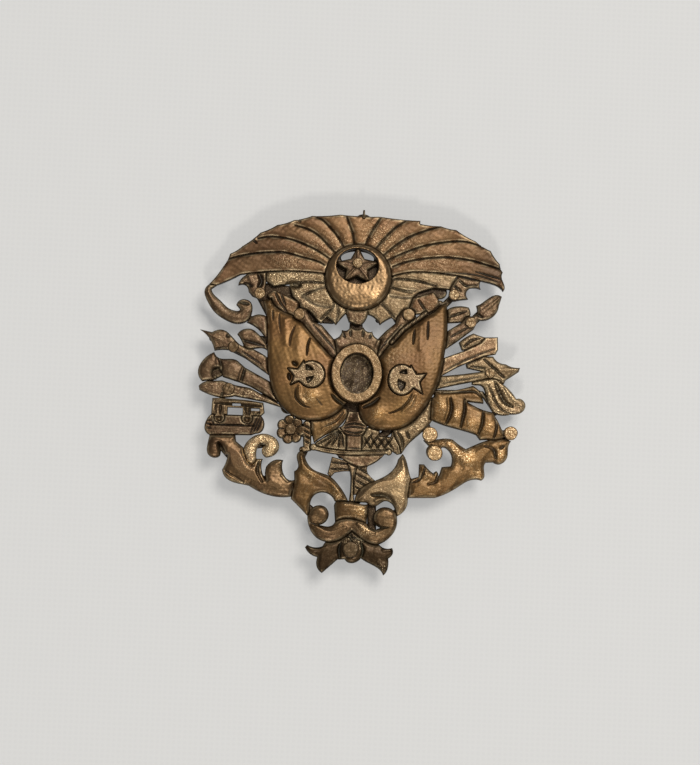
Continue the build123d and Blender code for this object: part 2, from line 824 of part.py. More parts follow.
with BuildPart() as left_scroll:
    with BuildSketch(front):
        outline(
            [(-26.95, -10.8), (-26.7, -12.5), (-25.7, -13.0), (-24.6, -12.6)],
            [(-24.5, -11.6), (-24.9, -10.5)],
            [(-24.2, -11.2), (-23.7, -12.3)],
            [(-23.2, -12.4)],
            [(-23.5, -13.8), (-24.1, -15.1)],
            [(-23.2, -16.7), (-21.5, -17.4), (-19.2, -17.8)],
            [(-17.5, -18.7), (-15.6, -19.35), (-11.3, -19.4)],
            [(-11.0, -16.4)],
            [(-12.2, -16.4), (-13.1, -15.3), (-13.2, -13.0)],
            [(-14.3, -12.9), (-16.2, -14.2)],
            [(-16.4, -15.3), (-16.2, -16.6)],
            [(-16.9, -15.3), (-17.1, -14.0), (-16.9, -12.9)],
            [(-18.0, -12.9)],
            [(-19.0, -12.0)],
            [(-20.4, -11.0)],
            [(-21.8, -9.9)],
            [(-22.0, -8.7)],
            [(-26.6, -8.7)],
        )
        clear(volute_plan, acanthus_left_plan, book_plan)
    extrude(amount=scroll_height)

with BuildPart() as right_scroll:
    with BuildSketch(front):
        outline(
            [(14.0, -8.2), (15.6, -7.95), (17.1, -8.1)],
            [(18.3, -9.0), (19.5, -9.7)],
            [(21.3, -8.8), (24.0, -7.8), (26.2, -7.6), (27.6, -8.0)],
            [(27.1, -9.4), (27.0, -10.9), (26.2, -12.0), (24.5, -11.9)],
            [(23.2, -12.0)],
            [(22.9, -13.2), (23.0, -14.6), (22.5, -15.25)],
            [(20.2, -15.4), (18.2, -16.7), (16.0, -18.0), (14.2, -18.7)],
            [(9.2, -18.9)],
            [(9.4, -16.3)],
            [(9.9, -15.4)],
            [(11.2, -15.0)],
            [(11.2, -12.75)],
            [(12.1, -12.75)],
            [(13.0, -13.7), (13.8, -14.3)],
            [(14.3, -13.9), (14.8, -14.9)],
            [(15.3, -13.1)],
            [(16.9, -12.9)],
            [(17.1, -11.6), (16.6, -10.3), (15.3, -9.6), (15.0, -10.0)],
            [(14.6, -11.9), (12.9, -11.5), (12.4, -10.4), (12.8, -9.4)],
            [(11.8, -8.4)],
        )
        clear(cornucopia_plan, acanthus_right_plan, hem_right_plan)
    extrude(amount=scroll_height)

with BuildPart() as clasp_band:
    with BuildSketch(front):
        add(clasp_plan.sketch)
        clear(acanthus_left_plan, acanthus_right_plan)
    extrude(amount=clasp_height)

with BuildPart() as lower_scroll:
    with BuildSketch(front):
        add(lower_scroll_plan.sketch)
        clear(clasp_plan, acanthus_left_plan, acanthus_right_plan)
    extrude(amount=scroll_height)

with BuildPart() as ribbon_bow:
    with BuildSketch(front):
        outline(
            [(-7.0, -28.35), (-5.6, -28.1)],
            [(-4.9, -27.0)],
            [(-0.4, -25.0)],
            [(4.2, -27.0)],
            [(5.6, -28.05), (6.9, -27.95)],
            [(7.1, -28.5), (6.3, -29.9)],
            [(6.35, -31.0), (5.95, -32.4), (5.5, -32.9)],
            [(5.0, -32.1), (3.2, -31.0), (1.4, -30.0)],
            [(0.4, -30.8), (-0.5, -30.95), (-1.5, -30.3)],
            [(-2.8, -30.4)],
            [(-4.2, -31.7), (-5.5, -32.9)],
            [(-6.2, -32.3), (-6.45, -30.1)],
            [(-7.7, -29.6), (-8.7, -28.4)],
            [(-8.3, -27.95)],
        )
        clear(lower_scroll_plan)
    extrude(amount=ribbon_height)

# Weapons on the right, from the top down.
with BuildPart() as spear_right:
    with BuildSketch(front):
        add(spear_right_plan.sketch)
        clear(right_drape_plan, board_plan)
    extrude(amount=edge_height)

with BuildPart() as right_feather:
    with BuildSketch(front):
        outline(
            [(18.6, 10.35), (20.2, 11.25)],
            [(21.2, 10.9), (22.4, 10.6)],
            [(21.6, 9.6), (19.0, 8.2)],
            [(18.2, 8.1)],
            [(17.6, 9.5)],
        )
        clear(board_plan, spear_right_plan)
    extrude(amount=edge_height)

with BuildPart() as board:
    with BuildSketch(front):
        add(board_plan.sketch)
        clear(right_drape_plan)
    extrude(amount=edge_height)

with BuildPart() as arrow:
    with BuildSketch(front):
        outline(
            [(22.3, 7.2)],
            [(23.9, 7.2)],
            [(24.9, 6.2), (26.2, 5.9)],
            [(27.5, 5.4), (28.8, 5.35)],
            [(28.6, 4.6)],
            [(27.2, 3.6), (26.3, 3.0)],
            [(25.9, 2.2)],
            [(24.4, 3.1), (22.2, 2.9)],
            [(17.0, 1.7)],
            [(13.6, 0.8)],
            [(13.9, 3.2)],
            [(18.5, 3.8)],
            [(22.0, 4.4)],
            [(19.2, 4.9)],
            [(19.0, 5.6)],
        )
        clear(right_drape_plan, board_plan)
    extrude(amount=edge_height)

with BuildPart() as horn_bow:
    with BuildSketch(front):
        outline(
            [(21.4, 2.45)],
            [(22.9, 2.2), (23.7, 0.9), (24.4, -0.8), (25.5, -2.3), (27.0, -3.1)],
            [(28.2, -3.1), (29.5, -2.6), (30.0, -1.4), (29.5, -0.5), (28.3, -0.3)],
            [(27.4, 0.9), (25.9, 2.2)],
            [(24.4, 3.1), (22.2, 2.9)],
            [(20.2, 2.4)],
            [(20.2, 2.0)],
        )
        clear()
    with BuildSketch(front):
        outline(
            [(20.9, 1.9)],
            [(22.2, 1.6), (22.9, -0.4), (23.4, -1.7), (24.2, -2.9)],
            [(26.0, -3.4), (27.2, -3.2)],
            [(27.0, -3.1)],
            [(25.5, -2.3), (24.4, -0.8), (23.7, 0.9), (22.9, 2.2), (21.4, 2.45)],
            [(20.2, 2.0)],
        )
        clear(cornucopia_plan)
    extrude(amount=edge_height)

with BuildPart() as cornucopia:
    with BuildSketch(front):
        outline(
            [(17.0, 0.8), (20.4, 1.75)],
            [(21.6, 0.8), (22.4, -1.1)],
            [(22.4, -2.0)],
            [(13.0, -2.0)],
            [(13.6, 0.4)],
        )
        clear(hem_right_plan, right_drape_plan)
        polygon((19.4, -1.15), (22.7, -1.4), (22.8, -2.7), (21.4, -2.3), mode=Mode.SUBTRACT)
    extrude(amount=edge_height)
    with BuildSketch(front):
        add(cornucopia_plan.sketch)
        clear(right_drape_plan)
    extrude(amount=scroll_height)

# Flat-headed rivets, their shanks filed flush with the rear of the plate.
with BuildPart() as rivet_set:
    for x, y, radius, seat in rivets:
        with BuildSketch(front.offset(seat)):
            with Locations((x, y)):
                Circle(radius)
        extrude(amount=rivet_head_height)
    chamfer(rivet_set.faces().filter_by(Axis.Z).edges().filter_by(GeomType.CIRCLE), length=0.12)
    for x, y, radius, seat in rivets:
        with BuildSketch(back):
            with Locations((x, y)):
                Circle(rivet_shank)
        extrude(amount=plate_thickness + seat + rivet_head_height / 2)

# Pierced back plate: a web that keeps behind the pieces it carries.
with BuildPart() as back_plate:
    with BuildSketch(back):
        outline(
            [(-20.0, 24.6), (-12.0, 28.4), (-3.2, 30.0)],
            [(2.4, 30.0), (12.0, 28.8), (19.6, 26.2), (23.6, 22.6)],
            [(17.0, 22.4), (10.0, 20.6), (5.5, 18.0)],
            [(3.4, 14.6)],
            [(0.2, 15.4)],
            [(0.1, 12.6)],
            [(0.4, 9.0)],
            [(4.2, 8.6)],
            [(9.4, 13.2), (14.6, 15.6)],
            [(14.6, 8.0), (13.0, 1.0), (9.0, -5.0), (5.4, -6.3), (2.0, -5.8)],
            [(0.2, -8.0)],
            [(-1.5, -8.0)],
            [(-2.2, -4.4)],
            [(-6.0, -5.0), (-10.4, -4.8), (-13.8, -2.6), (-16.0, 3.0), (-16.4, 13.0)],
            [(-13.6, 12.8), (-10.0, 9.8)],
            [(-5.6, 6.6)],
            [(-2.3, 9.0)],
            [(-2.2, 12.6)],
            [(-2.2, 15.4)],
            [(-5.4, 14.4)],
            [(-7.4, 17.8), (-12.0, 20.2), (-20.0, 21.6)],
            [(-24.4, 21.0)],
        )
        for start, end, width in [
            ((-16.4, 13.0), (-18.65, 16.9), 1.6),
            ((-18.65, 16.9), (-20.4, 19.4), 1.4),
            ((-18.9, 17.2), (-18.6, 21.4), 1.2),
            ((-23.2, 21.3), (-27.2, 18.5), 0.7),
            ((-11.35, 13.35), (-13.4, 15.6), 1.6),
            ((-11.35, 13.35), (-9.6, 16.8), 1.4),
            ((-9.6, 16.8), (-9.0, 20.6), 1.4),
            ((-9.4, 11.4), (-11.4, 13.4), 1.6),
            ((-16.0, 11.2), (-19.2, 12.0), 1.0),
            ((-20.4, 12.6), (-19.0, 12.4), 0.8),
            ((-16.0, 8.6), (-20.4, 8.8), 1.4),
            ((-16.0, 3.8), (-23.0, 7.0), 1.5),
            ((-23.0, 7.0), (-27.0, 8.6), 1.0),
            ((-15.4, -0.4), (-22.0, 2.6), 1.7),
            ((-22.0, 2.6), (-25.6, 4.4), 1.0),
            ((-26.2, 4.9), (-28.2, 3.0), 1.0),
            ((-14.0, -2.2), (-19.6, -1.2), 0.9),
            ((-19.6, -1.2), (-27.6, -0.6), 1.1),
            ((-24.2, -1.0), (-25.0, -3.0), 1.0),
            ((-25.2, -2.8), (-24.6, -7.4), 0.8),
            ((-19.8, -6.9), (-25.2, -7.2), 2.2),
            ((-25.4, -7.6), (-25.2, -10.0), 1.4),
            ((-25.0, -10.0), (-21.6, -13.6), 1.6),
            ((-21.6, -13.6), (-18.0, -16.4), 2.6),
            ((-18.0, -16.4), (-11.0, -18.0), 1.8),
            ((-19.6, -13.6), (-19.0, -11.0), 1.0),
            ((-19.0, -10.6), (-16.0, -10.0), 1.2),
            ((-15.2, -14.6), (-14.6, -17.6), 1.2),
            ((-11.0, -18.0), (-9.6, -14.0), 1.0),
            ((-9.6, -17.4), (-9.6, -20.0), 2.0),
            ((-10.4, -17.4), (-5.0, -16.8), 1.8),
            ((-5.0, -16.8), (-2.4, -19.2), 0.9),
            ((-9.2, -20.4), (-6.4, -22.6), 1.0),
            ((-7.2, -23.0), (-7.0, -25.0), 1.4),
            ((-7.0, -25.0), (-4.4, -25.8), 1.6),
            ((-4.4, -25.8), (-1.0, -24.2), 1.4),
            ((-1.0, -24.2), (3.2, -26.0), 1.4),
            ((3.2, -26.0), (6.0, -24.6), 1.6),
            ((6.0, -24.6), (5.4, -22.0), 2.0),
            ((-0.7, -24.4), (-0.6, -20.8), 2.4),
            ((-0.7, -21.2), (-0.7, -14.0), 0.6),
            ((-0.6, -24.6), (-0.55, -28.6), 2.4),
            ((-0.55, -28.6), (-5.6, -29.8), 1.6),
            ((-5.6, -29.8), (-5.6, -31.6), 0.9),
            ((-0.55, -28.6), (5.2, -29.4), 1.6),
            ((5.4, -29.4), (5.5, -31.6), 0.7),
            ((-0.6, -12.4), (2.6, -12.0), 1.4),
            ((-3.0, -11.8), (0.0, -12.4), 0.8),
            ((-0.8, -13.7), (-4.4, -14.0), 0.8),
            ((-0.7, -7.6), (-0.6, -12.4), 1.8),
            ((-1.4, -9.4), (-5.6, -9.4), 1.6),
            ((-0.4, -9.4), (5.6, -9.4), 1.4),
            ((5.6, -9.4), (7.4, -9.6), 0.6),
            ((-7.0, -5.0), (-4.0, -5.8), 1.6),
            ((-9.0, -5.2), (-9.0, -10.0), 1.1),
            ((-8.9, -7.4), (-12.2, -7.4), 2.4),
            ((-8.9, -10.4), (-9.9, -12.6), 0.8),
            ((-9.8, -12.6), (-9.4, -17.6), 1.1),
            ((12.6, -1.8), (11.8, -4.4), 2.2),
            ((11.8, -4.4), (12.9, -7.4), 1.4),
            ((8.6, -6.0), (11.6, -5.4), 1.6),
            ((12.9, -7.4), (13.7, -9.2), 1.6),
            ((13.7, -9.4), (13.9, -10.7), 1.6),
            ((13.9, -9.1), (16.4, -8.9), 1.0),
            ((16.4, -8.9), (18.6, -11.0), 1.2),
            ((18.6, -11.0), (19.6, -13.4), 2.2),
            ((19.4, -12.0), (23.0, -9.8), 2.4),
            ((23.0, -9.8), (25.6, -10.2), 1.8),
            ((26.0, -8.4), (27.2, -7.2), 1.0),
            ((24.0, -9.4), (26.4, -8.2), 0.9),
            ((19.6, -13.4), (15.0, -16.2), 2.4),
            ((15.0, -16.2), (8.0, -17.4), 2.0),
            ((12.4, -16.6), (12.0, -14.0), 1.0),
            ((8.4, -17.6), (8.2, -13.6), 1.2),
            ((8.2, -13.6), (8.1, -12.4), 0.7),
            ((8.0, -17.2), (2.4, -18.2), 1.4),
            ((2.4, -18.2), (-0.4, -21.0), 0.6),
            ((8.0, -18.0), (8.4, -20.4), 1.4),
            ((8.4, -20.4), (6.4, -22.4), 1.0),
            ((0.6, -16.6), (3.4, -17.4), 0.8),
            ((13.2, -2.6), (19.0, -3.4), 2.6),
            ((19.0, -3.4), (23.6, -5.2), 2.8),
            ((24.4, -6.4), (26.2, -6.8), 1.4),
            ((26.0, -6.8), (27.4, -6.6), 1.6),
            ((12.2, 0.4), (21.0, 0.6), 0.9),
            ((13.6, 2.2), (22.6, 3.6), 1.0),
            ((22.6, 3.8), (27.4, 4.6), 1.4),
            ((24.4, 3.0), (26.4, 0.6), 1.4),
            ((26.4, 0.6), (28.6, -1.6), 1.6),
            ((20.8, 1.0), (22.2, 0.4), 0.8),
            ((22.2, 0.6), (24.8, -3.0), 0.7),
            ((21.0, 5.8), (23.0, 5.8), 0.8),
            ((22.8, 4.4), (23.2, 6.0), 0.8),
            ((14.6, 4.6), (23.6, 9.0), 1.8),
            ((19.2, 8.4), (19.8, 10.2), 1.0),
            ((14.6, 9.6), (19.6, 13.1), 1.6),
            ((19.6, 13.1), (23.6, 17.0), 1.6),
            ((14.6, 14.2), (18.0, 14.8), 1.4),
            ((14.0, 15.4), (16.4, 18.0), 1.2),
            ((16.4, 18.0), (18.6, 20.4), 1.4),
            ((8.3, 14.05), (10.6, 16.2), 1.6),
            ((9.4, 13.0), (8.0, 16.8), 1.4),
            ((8.0, 16.8), (8.0, 20.0), 1.6),
            ((5.6, 9.6), (8.3, 13.0), 1.4),
            ((3.0, 13.2), (3.2, 16.0), 1.2),
            ((-17.0, 17.8), (-12.4, 17.2), 2.6),
            ((-12.6, 17.4), (-9.6, 14.4), 3.0),
            ((-17.2, 16.4), (-11.8, 12.8), 1.8),
            ((-9.6, 13.0), (-5.4, 12.9), 1.6),
            ((9.2, 17.8), (14.0, 18.6), 2.4),
            ((8.4, 16.4), (6.6, 13.6), 2.0),
            ((11.6, 14.6), (14.0, 16.4), 1.4),
            ((3.0, -20.4), (3.2, -25.8), 1.6),
            ((4.0, -8.2), (5.9, -6.6), 1.4),
            ((-27.2, 1.6), (-25.0, 2.8), 1.8),
        ]:
            strip(start, end, width)
        with Locations((window_centre[0], 24.2)):
            Ellipse(3.0, 1.3, mode=Mode.SUBTRACT)
        polygon((-2.7, 27.6), (1.9, 27.6), (1.9, 33.0), (-2.7, 33.0), mode=Mode.SUBTRACT)
        with Locations(*[(x, y) for x, y, radius, seat in rivets]):
            Circle(rivet_shank + solder_gap, mode=Mode.SUBTRACT)
        for lug_x, lug_y in lug_centres:
            with Locations((lug_x, lug_y - lug_bend), (lug_x, lug_y + lug_bend)):
                Circle(lug_wire + solder_gap, mode=Mode.SUBTRACT)
    extrude(amount=plate_thickness)


# Wire lugs: each a U of round wire whose two legs stand in the plate.
bend_z = lug_wire + lug_bend
with BuildPart() as wire_lugs:
    for centre_x, centre_y in lug_centres:
        with BuildLine(Plane.YZ.offset(centre_x)) as route:
            Line((centre_y - lug_bend, plate_front), (centre_y - lug_bend, bend_z))
            ThreePointArc(
                (centre_y - lug_bend, bend_z), (centre_y, bend_z - lug_bend), (centre_y + lug_bend, bend_z)
            )
            Line((centre_y + lug_bend, bend_z), (centre_y + lug_bend, plate_front))
        with BuildSketch(Plane.XY.offset(plate_front)):
            with Locations((centre_x, centre_y - lug_bend)):
                Circle(lug_wire)
        sweep(path=route.wires()[0])

# Split pin: two half-round legs lying together, with an eye to pull it by.
pin_y = lug_centres[0][1]
pin_z = 2 * lug_wire + pin_wire + 0.1

with BuildPart() as split_pin:
    with BuildSketch(Plane.YZ.offset(pin_head)):
        with Locations((pin_y, pin_z)):
            Circle(pin_wire)
            Rectangle(pin_slit, 3 * pin_wire, mode=Mode.SUBTRACT)
    extrude(amount=pin_tip - pin_head)
    with Locations((pin_head - pin_eye + 0.4, pin_y, pin_z)):
        Torus(pin_eye, pin_eye_wire)

# Ring, drooping from its hinge towards the table, and the eye of wire that holds it.
ring_plane = Plane(
    origin=(hinge_x, hinge_y, hinge_z),
    x_dir=(1, 0, 0),
    z_dir=(0, -sin(radians(ring_droop)), cos(radians(ring_droop))),
)

with BuildPart() as hanging_ring:
    with Locations(ring_plane):
        with Locations((0, -ring_bend, 0)):
            Torus(ring_bend, ring_wire)

with BuildPart() as top_eye:
    lie = plate_front + edge_height + eye_wire
    with BuildLine(Plane.YZ.offset(hinge_x)) as eye_route:
        FilletPolyline(
            (eye_start, lie), (hinge_y + eye_bend, lie), (hinge_y + eye_bend, hinge_z), radius=0.4
        )
        ThreePointArc(
            (hinge_y + eye_bend, hinge_z), (hinge_y, hinge_z - eye_bend), (hinge_y - eye_bend, hinge_z)
        )
        Line((hinge_y - eye_bend, hinge_z), (hinge_y - eye_bend, plate_front))
    with BuildSketch(Plane.XZ.offset(-eye_start)):
        with Locations((hinge_x, lie)):
            Circle(eye_wire)
    sweep(path=eye_route.wires()[0])
    with Locations((hinge_x, eye_start, plate_front + edge_height + eye_bead)):
        Sphere(eye_bead)

pieces = {
    "back_plate": back_plate,
    "setting_collar": setting_collar,
    "setting_floor": setting_floor,
    "palmette": palmette,
    "left_staff": left_staff,
    "right_staff": right_staff,
    "staff_cord": staff_cord,
    "left_drape": left_drape,
    "right_drape": right_drape,
    "left_hem": left_hem,
    "right_hem": right_hem,
    "left_medallion": left_medallion,
    "right_medallion": right_medallion,
    "top_crescent": top_crescent,
    "top_star": top_star,
    "ray_fan": ray_fan,
    "left_rays": left_rays,
    "right_rays": right_rays,
    "centre_tab": centre_tab,
    "fan_hook": fan_hook,
    "hook_claw": hook_claw,
    "end_leaf": end_leaf,
    "left_pennon": left_pennon,
    "right_pennon": right_pennon,
    "left_leaf": left_leaf,
    "right_leaf": right_leaf,
    "left_shield": left_shield,
    "spear_left": spear_left,
    "mace": mace,
    "dagger": dagger,
    "balance": balance,
    "law_book": law_book,
    "rosette": rosette,
    "capital": capital,
    "foliage_left": foliage_left,
    "foliage_right": foliage_right,
    "bow_string": bow_string,
    "bow_limb": bow_limb,
    "stem": stem,
    "acanthus_left": acanthus_left,
    "acanthus_right": acanthus_right,
    "volute": volute,
    "left_scroll": left_scroll,
    "right_scroll": right_scroll,
    "clasp_band": clasp_band,
    "lower_scroll": lower_scroll,
    "ribbon_bow": ribbon_bow,
    "spear_right": spear_right,
    "right_feather": right_feather,
    "board": board,
    "arrow": arrow,
    "horn_bow": horn_bow,
    "cornucopia": cornucopia,
    "rivets": rivet_set,
    "wire_lugs": wire_lugs,
    "split_pin": split_pin,
    "top_eye": top_eye,
    "hanging_ring": hanging_ring,
}
for name, piece in pieces.items():
    piece.part.label = name
    export_step(piece.part, f"parts/{name}.step")
    print(name, len(piece.part.solids()))
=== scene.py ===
import json
import math

import bpy
import numpy as np
from mathutils import Matrix, Vector
from mathutils.geometry import delaunay_2d_cdt


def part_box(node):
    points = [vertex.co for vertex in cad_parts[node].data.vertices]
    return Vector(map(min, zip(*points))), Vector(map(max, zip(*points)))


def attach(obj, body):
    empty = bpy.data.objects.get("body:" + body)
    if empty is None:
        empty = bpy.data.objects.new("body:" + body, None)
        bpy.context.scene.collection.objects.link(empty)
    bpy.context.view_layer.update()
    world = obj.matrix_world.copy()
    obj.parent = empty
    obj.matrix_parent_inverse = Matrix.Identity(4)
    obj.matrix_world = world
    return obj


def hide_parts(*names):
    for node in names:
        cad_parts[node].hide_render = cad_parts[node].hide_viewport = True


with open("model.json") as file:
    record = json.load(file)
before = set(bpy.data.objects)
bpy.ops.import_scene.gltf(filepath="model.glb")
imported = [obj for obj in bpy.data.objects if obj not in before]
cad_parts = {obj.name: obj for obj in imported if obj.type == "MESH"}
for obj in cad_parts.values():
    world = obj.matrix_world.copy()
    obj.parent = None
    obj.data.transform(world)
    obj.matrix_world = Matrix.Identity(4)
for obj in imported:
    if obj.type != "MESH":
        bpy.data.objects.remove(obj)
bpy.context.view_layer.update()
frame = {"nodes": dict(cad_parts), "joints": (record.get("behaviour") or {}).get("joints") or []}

mm = 0.001  # lengths below are in millimetres, and meshes are written in metres
batch = 256  # points measured at a time


# ---- outlines read from the frame

def nodeMesh(node):
    # corners (n, 3) in millimetres and triangles (m, 3) of a CAD node, with its loose corners welded
    mesh = frame["nodes"][node].data
    mesh.calc_loop_triangles()
    corners = np.empty(len(mesh.vertices) * 3)
    mesh.vertices.foreach_get("co", corners)
    triangles = np.empty(len(mesh.loop_triangles) * 3, int)
    mesh.loop_triangles.foreach_get("vertices", triangles)
    corners = np.round(corners.reshape(-1, 3) / mm, 3)
    welded, index = np.unique(corners, axis=0, return_inverse=True)
    return welded, index.ravel()[triangles].reshape(-1, 3)


def baseLoops(node):
    # closed loops (k, 2) round the flat face at a node's lowest level: edges that only one triangle has
    corners, triangles = nodeMesh(node)
    level = corners[:, 2].min()
    low = np.abs(corners[:, 2] - level) < 0.002
    flat = triangles[low[triangles].all(axis=1)]
    edges = set(map(tuple, np.concatenate([flat[:, [0, 1]], flat[:, [1, 2]], flat[:, [2, 0]]]).tolist()))
    following = {a: b for a, b in edges if (b, a) not in edges}
    loops = []
    while following:
        start, here = next(iter(following.items()))
        run = [start]
        del following[start]
        while here != start:
            run.append(here)
            here = following.pop(here)
        loops.append(corners[run][::-1, :2])
    return loops, level, corners[:, 2].max()


def refined(loop, step):
    # the loop with each edge cut into equal parts no longer than step
    parts = []
    for a, b in zip(loop, np.roll(loop, -1, axis=0)):
        count = max(1, math.ceil(np.hypot(*(b - a)) / step))
        parts.append(a + (b - a) * (np.arange(count) / count)[:, None])
    return np.concatenate(parts)


def loopArea(loop):
    following = np.roll(loop, -1, axis=0)
    return 0.5 * np.sum(loop[:, 0] * following[:, 1] - loop[:, 1] * following[:, 0])


def distanceTo(points, starts, ends, thickness=1.0):
    # distance of each point to the nearest of the segments,
    # |p - (a + t (b - a))| / thickness with t clipped to 0..1
    nearest = np.full(len(points), 1e9)
    startX, startY = starts.T.astype(np.float32)
    runX, runY = (ends - starts).T.astype(np.float32)
    square = np.maximum(runX ** 2 + runY ** 2, 1e-12)
    for first in range(0, len(points), batch):
        x = points[first:first + batch, :1].astype(np.float32) - startX
        y = points[first:first + batch, 1:].astype(np.float32) - startY
        t = np.clip((x * runX + y * runY) / square, 0, 1)
        away = ((x - t * runX) ** 2 + (y - t * runY) ** 2) / thickness ** 2
        nearest[first:first + batch] = np.sqrt(away.min(axis=1))
    return nearest


def inside(points, starts, ends):
    # even-odd rule: a ray along +X crosses the outline an odd number of times
    hits = np.zeros(len(points), int)
    rise = np.where(ends[:, 1] == starts[:, 1], 1e-12, ends[:, 1] - starts[:, 1])
    slope = (ends[:, 0] - starts[:, 0]) / rise
    for first in range(0, len(points), batch):
        x = points[first:first + batch, :1]
        y = points[first:first + batch, 1:]
        spans = (starts[:, 1] > y) != (ends[:, 1] > y)
        hits[first:first + batch] = (spans & (starts[:, 0] + (y - starts[:, 1]) * slope > x)).sum(axis=1)
    return hits % 2 == 1


def smoothCurve(points, count=8):
    # Catmull-Rom curve through the points: each span is 0.5 (2b + (c-a)t + (2a-5b+4c-d)t2 + (3b-a-3c+d)t3)
    p = np.array(points, float)
    if len(p) < 3:
        return p[0] + (p[-1] - p[0]) * np.linspace(0, 1, count + 1)[:, None]
    p = np.concatenate([[2 * p[0] - p[1]], p, [2 * p[-1] - p[-2]]])
    a, b, c, d = p[:-3, None], p[1:-2, None], p[2:-1, None], p[3:, None]
    t = (np.arange(count) / count)[None, :, None]
    spans = 0.5 * (2 * b + (c - a) * t + (2 * a - 5 * b + 4 * c - d) * t ** 2
                   + (3 * b - a - 3 * c + d) * t ** 3)
    return np.concatenate([spans.reshape(-1, 2), p[-2:-1]])


def lineDistance(points, lines, taper=0.0):
    # distance of each point to the nearest of several curves, which thin towards their ends by sin(pi s)^0.7
    curves = [smoothCurve(line) for line in lines]
    starts = np.concatenate([curve[:-1] for curve in curves])
    ends = np.concatenate([curve[1:] for curve in curves])
    shares = np.concatenate([(np.arange(len(curve) - 1) + 0.5) / (len(curve) - 1) for curve in curves])
    return distanceTo(points, starts, ends, 1 - taper + taper * np.sin(math.pi * shares) ** 0.7)


def waves(points, length, seed):
    # smooth lumps between about -1 and 1: a sum of plane waves in scattered directions
    rng = np.random.default_rng(seed)
    angle = rng.uniform(0, 2 * math.pi, 9)
    pitch = 2 * math.pi / (length * rng.uniform(0.7, 1.6, 9))
    phase = rng.uniform(0, 2 * math.pi, 9)
    along = points[:, :1] * np.cos(angle) + points[:, 1:2] * np.sin(angle)
    return np.sin(along * pitch + phase).sum(axis=1) / 4.2


# ---- meshes

def makeObject(name, corners, faces, marks, finish, body="badge", node=None):
    # a mesh object from corners in millimetres, faces, and values per corner for its finish to read
    marks = {"toneWithPaintedLight": np.ones(len(corners)), "rubbed": np.zeros(len(corners)), **marks}
    mesh = bpy.data.meshes.new(name)
    mesh.from_pydata((np.asarray(corners) * mm).tolist(), [], [list(face) for face in faces])
    mesh.shade_smooth()
    for label, values in marks.items():
        mesh.attributes.new(label, "FLOAT", "POINT").data.foreach_set("value", np.asarray(values, np.float32))
    mesh.update()
    piece = bpy.data.objects.new(name, mesh)
    bpy.context.scene.collection.objects.link(piece)
    mesh.materials.append(finish)
    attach(piece, body)
    if node:
        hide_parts(node)
    return piece


def gridFaces(rows, columns, closedRows=False, closedColumns=False):
    # quads over a grid of rows x columns corners, wrapped round where a direction is closed
    r = np.arange(rows if closedRows else rows - 1)[:, None]
    c = np.arange(columns if closedColumns else columns - 1)[None, :]
    following, beside = (r + 1) % rows, (c + 1) % columns
    faces = np.stack([r * columns + c, following * columns + c, following * columns + beside,
                      r * columns + beside], -1)
    return faces.reshape(-1, 4)


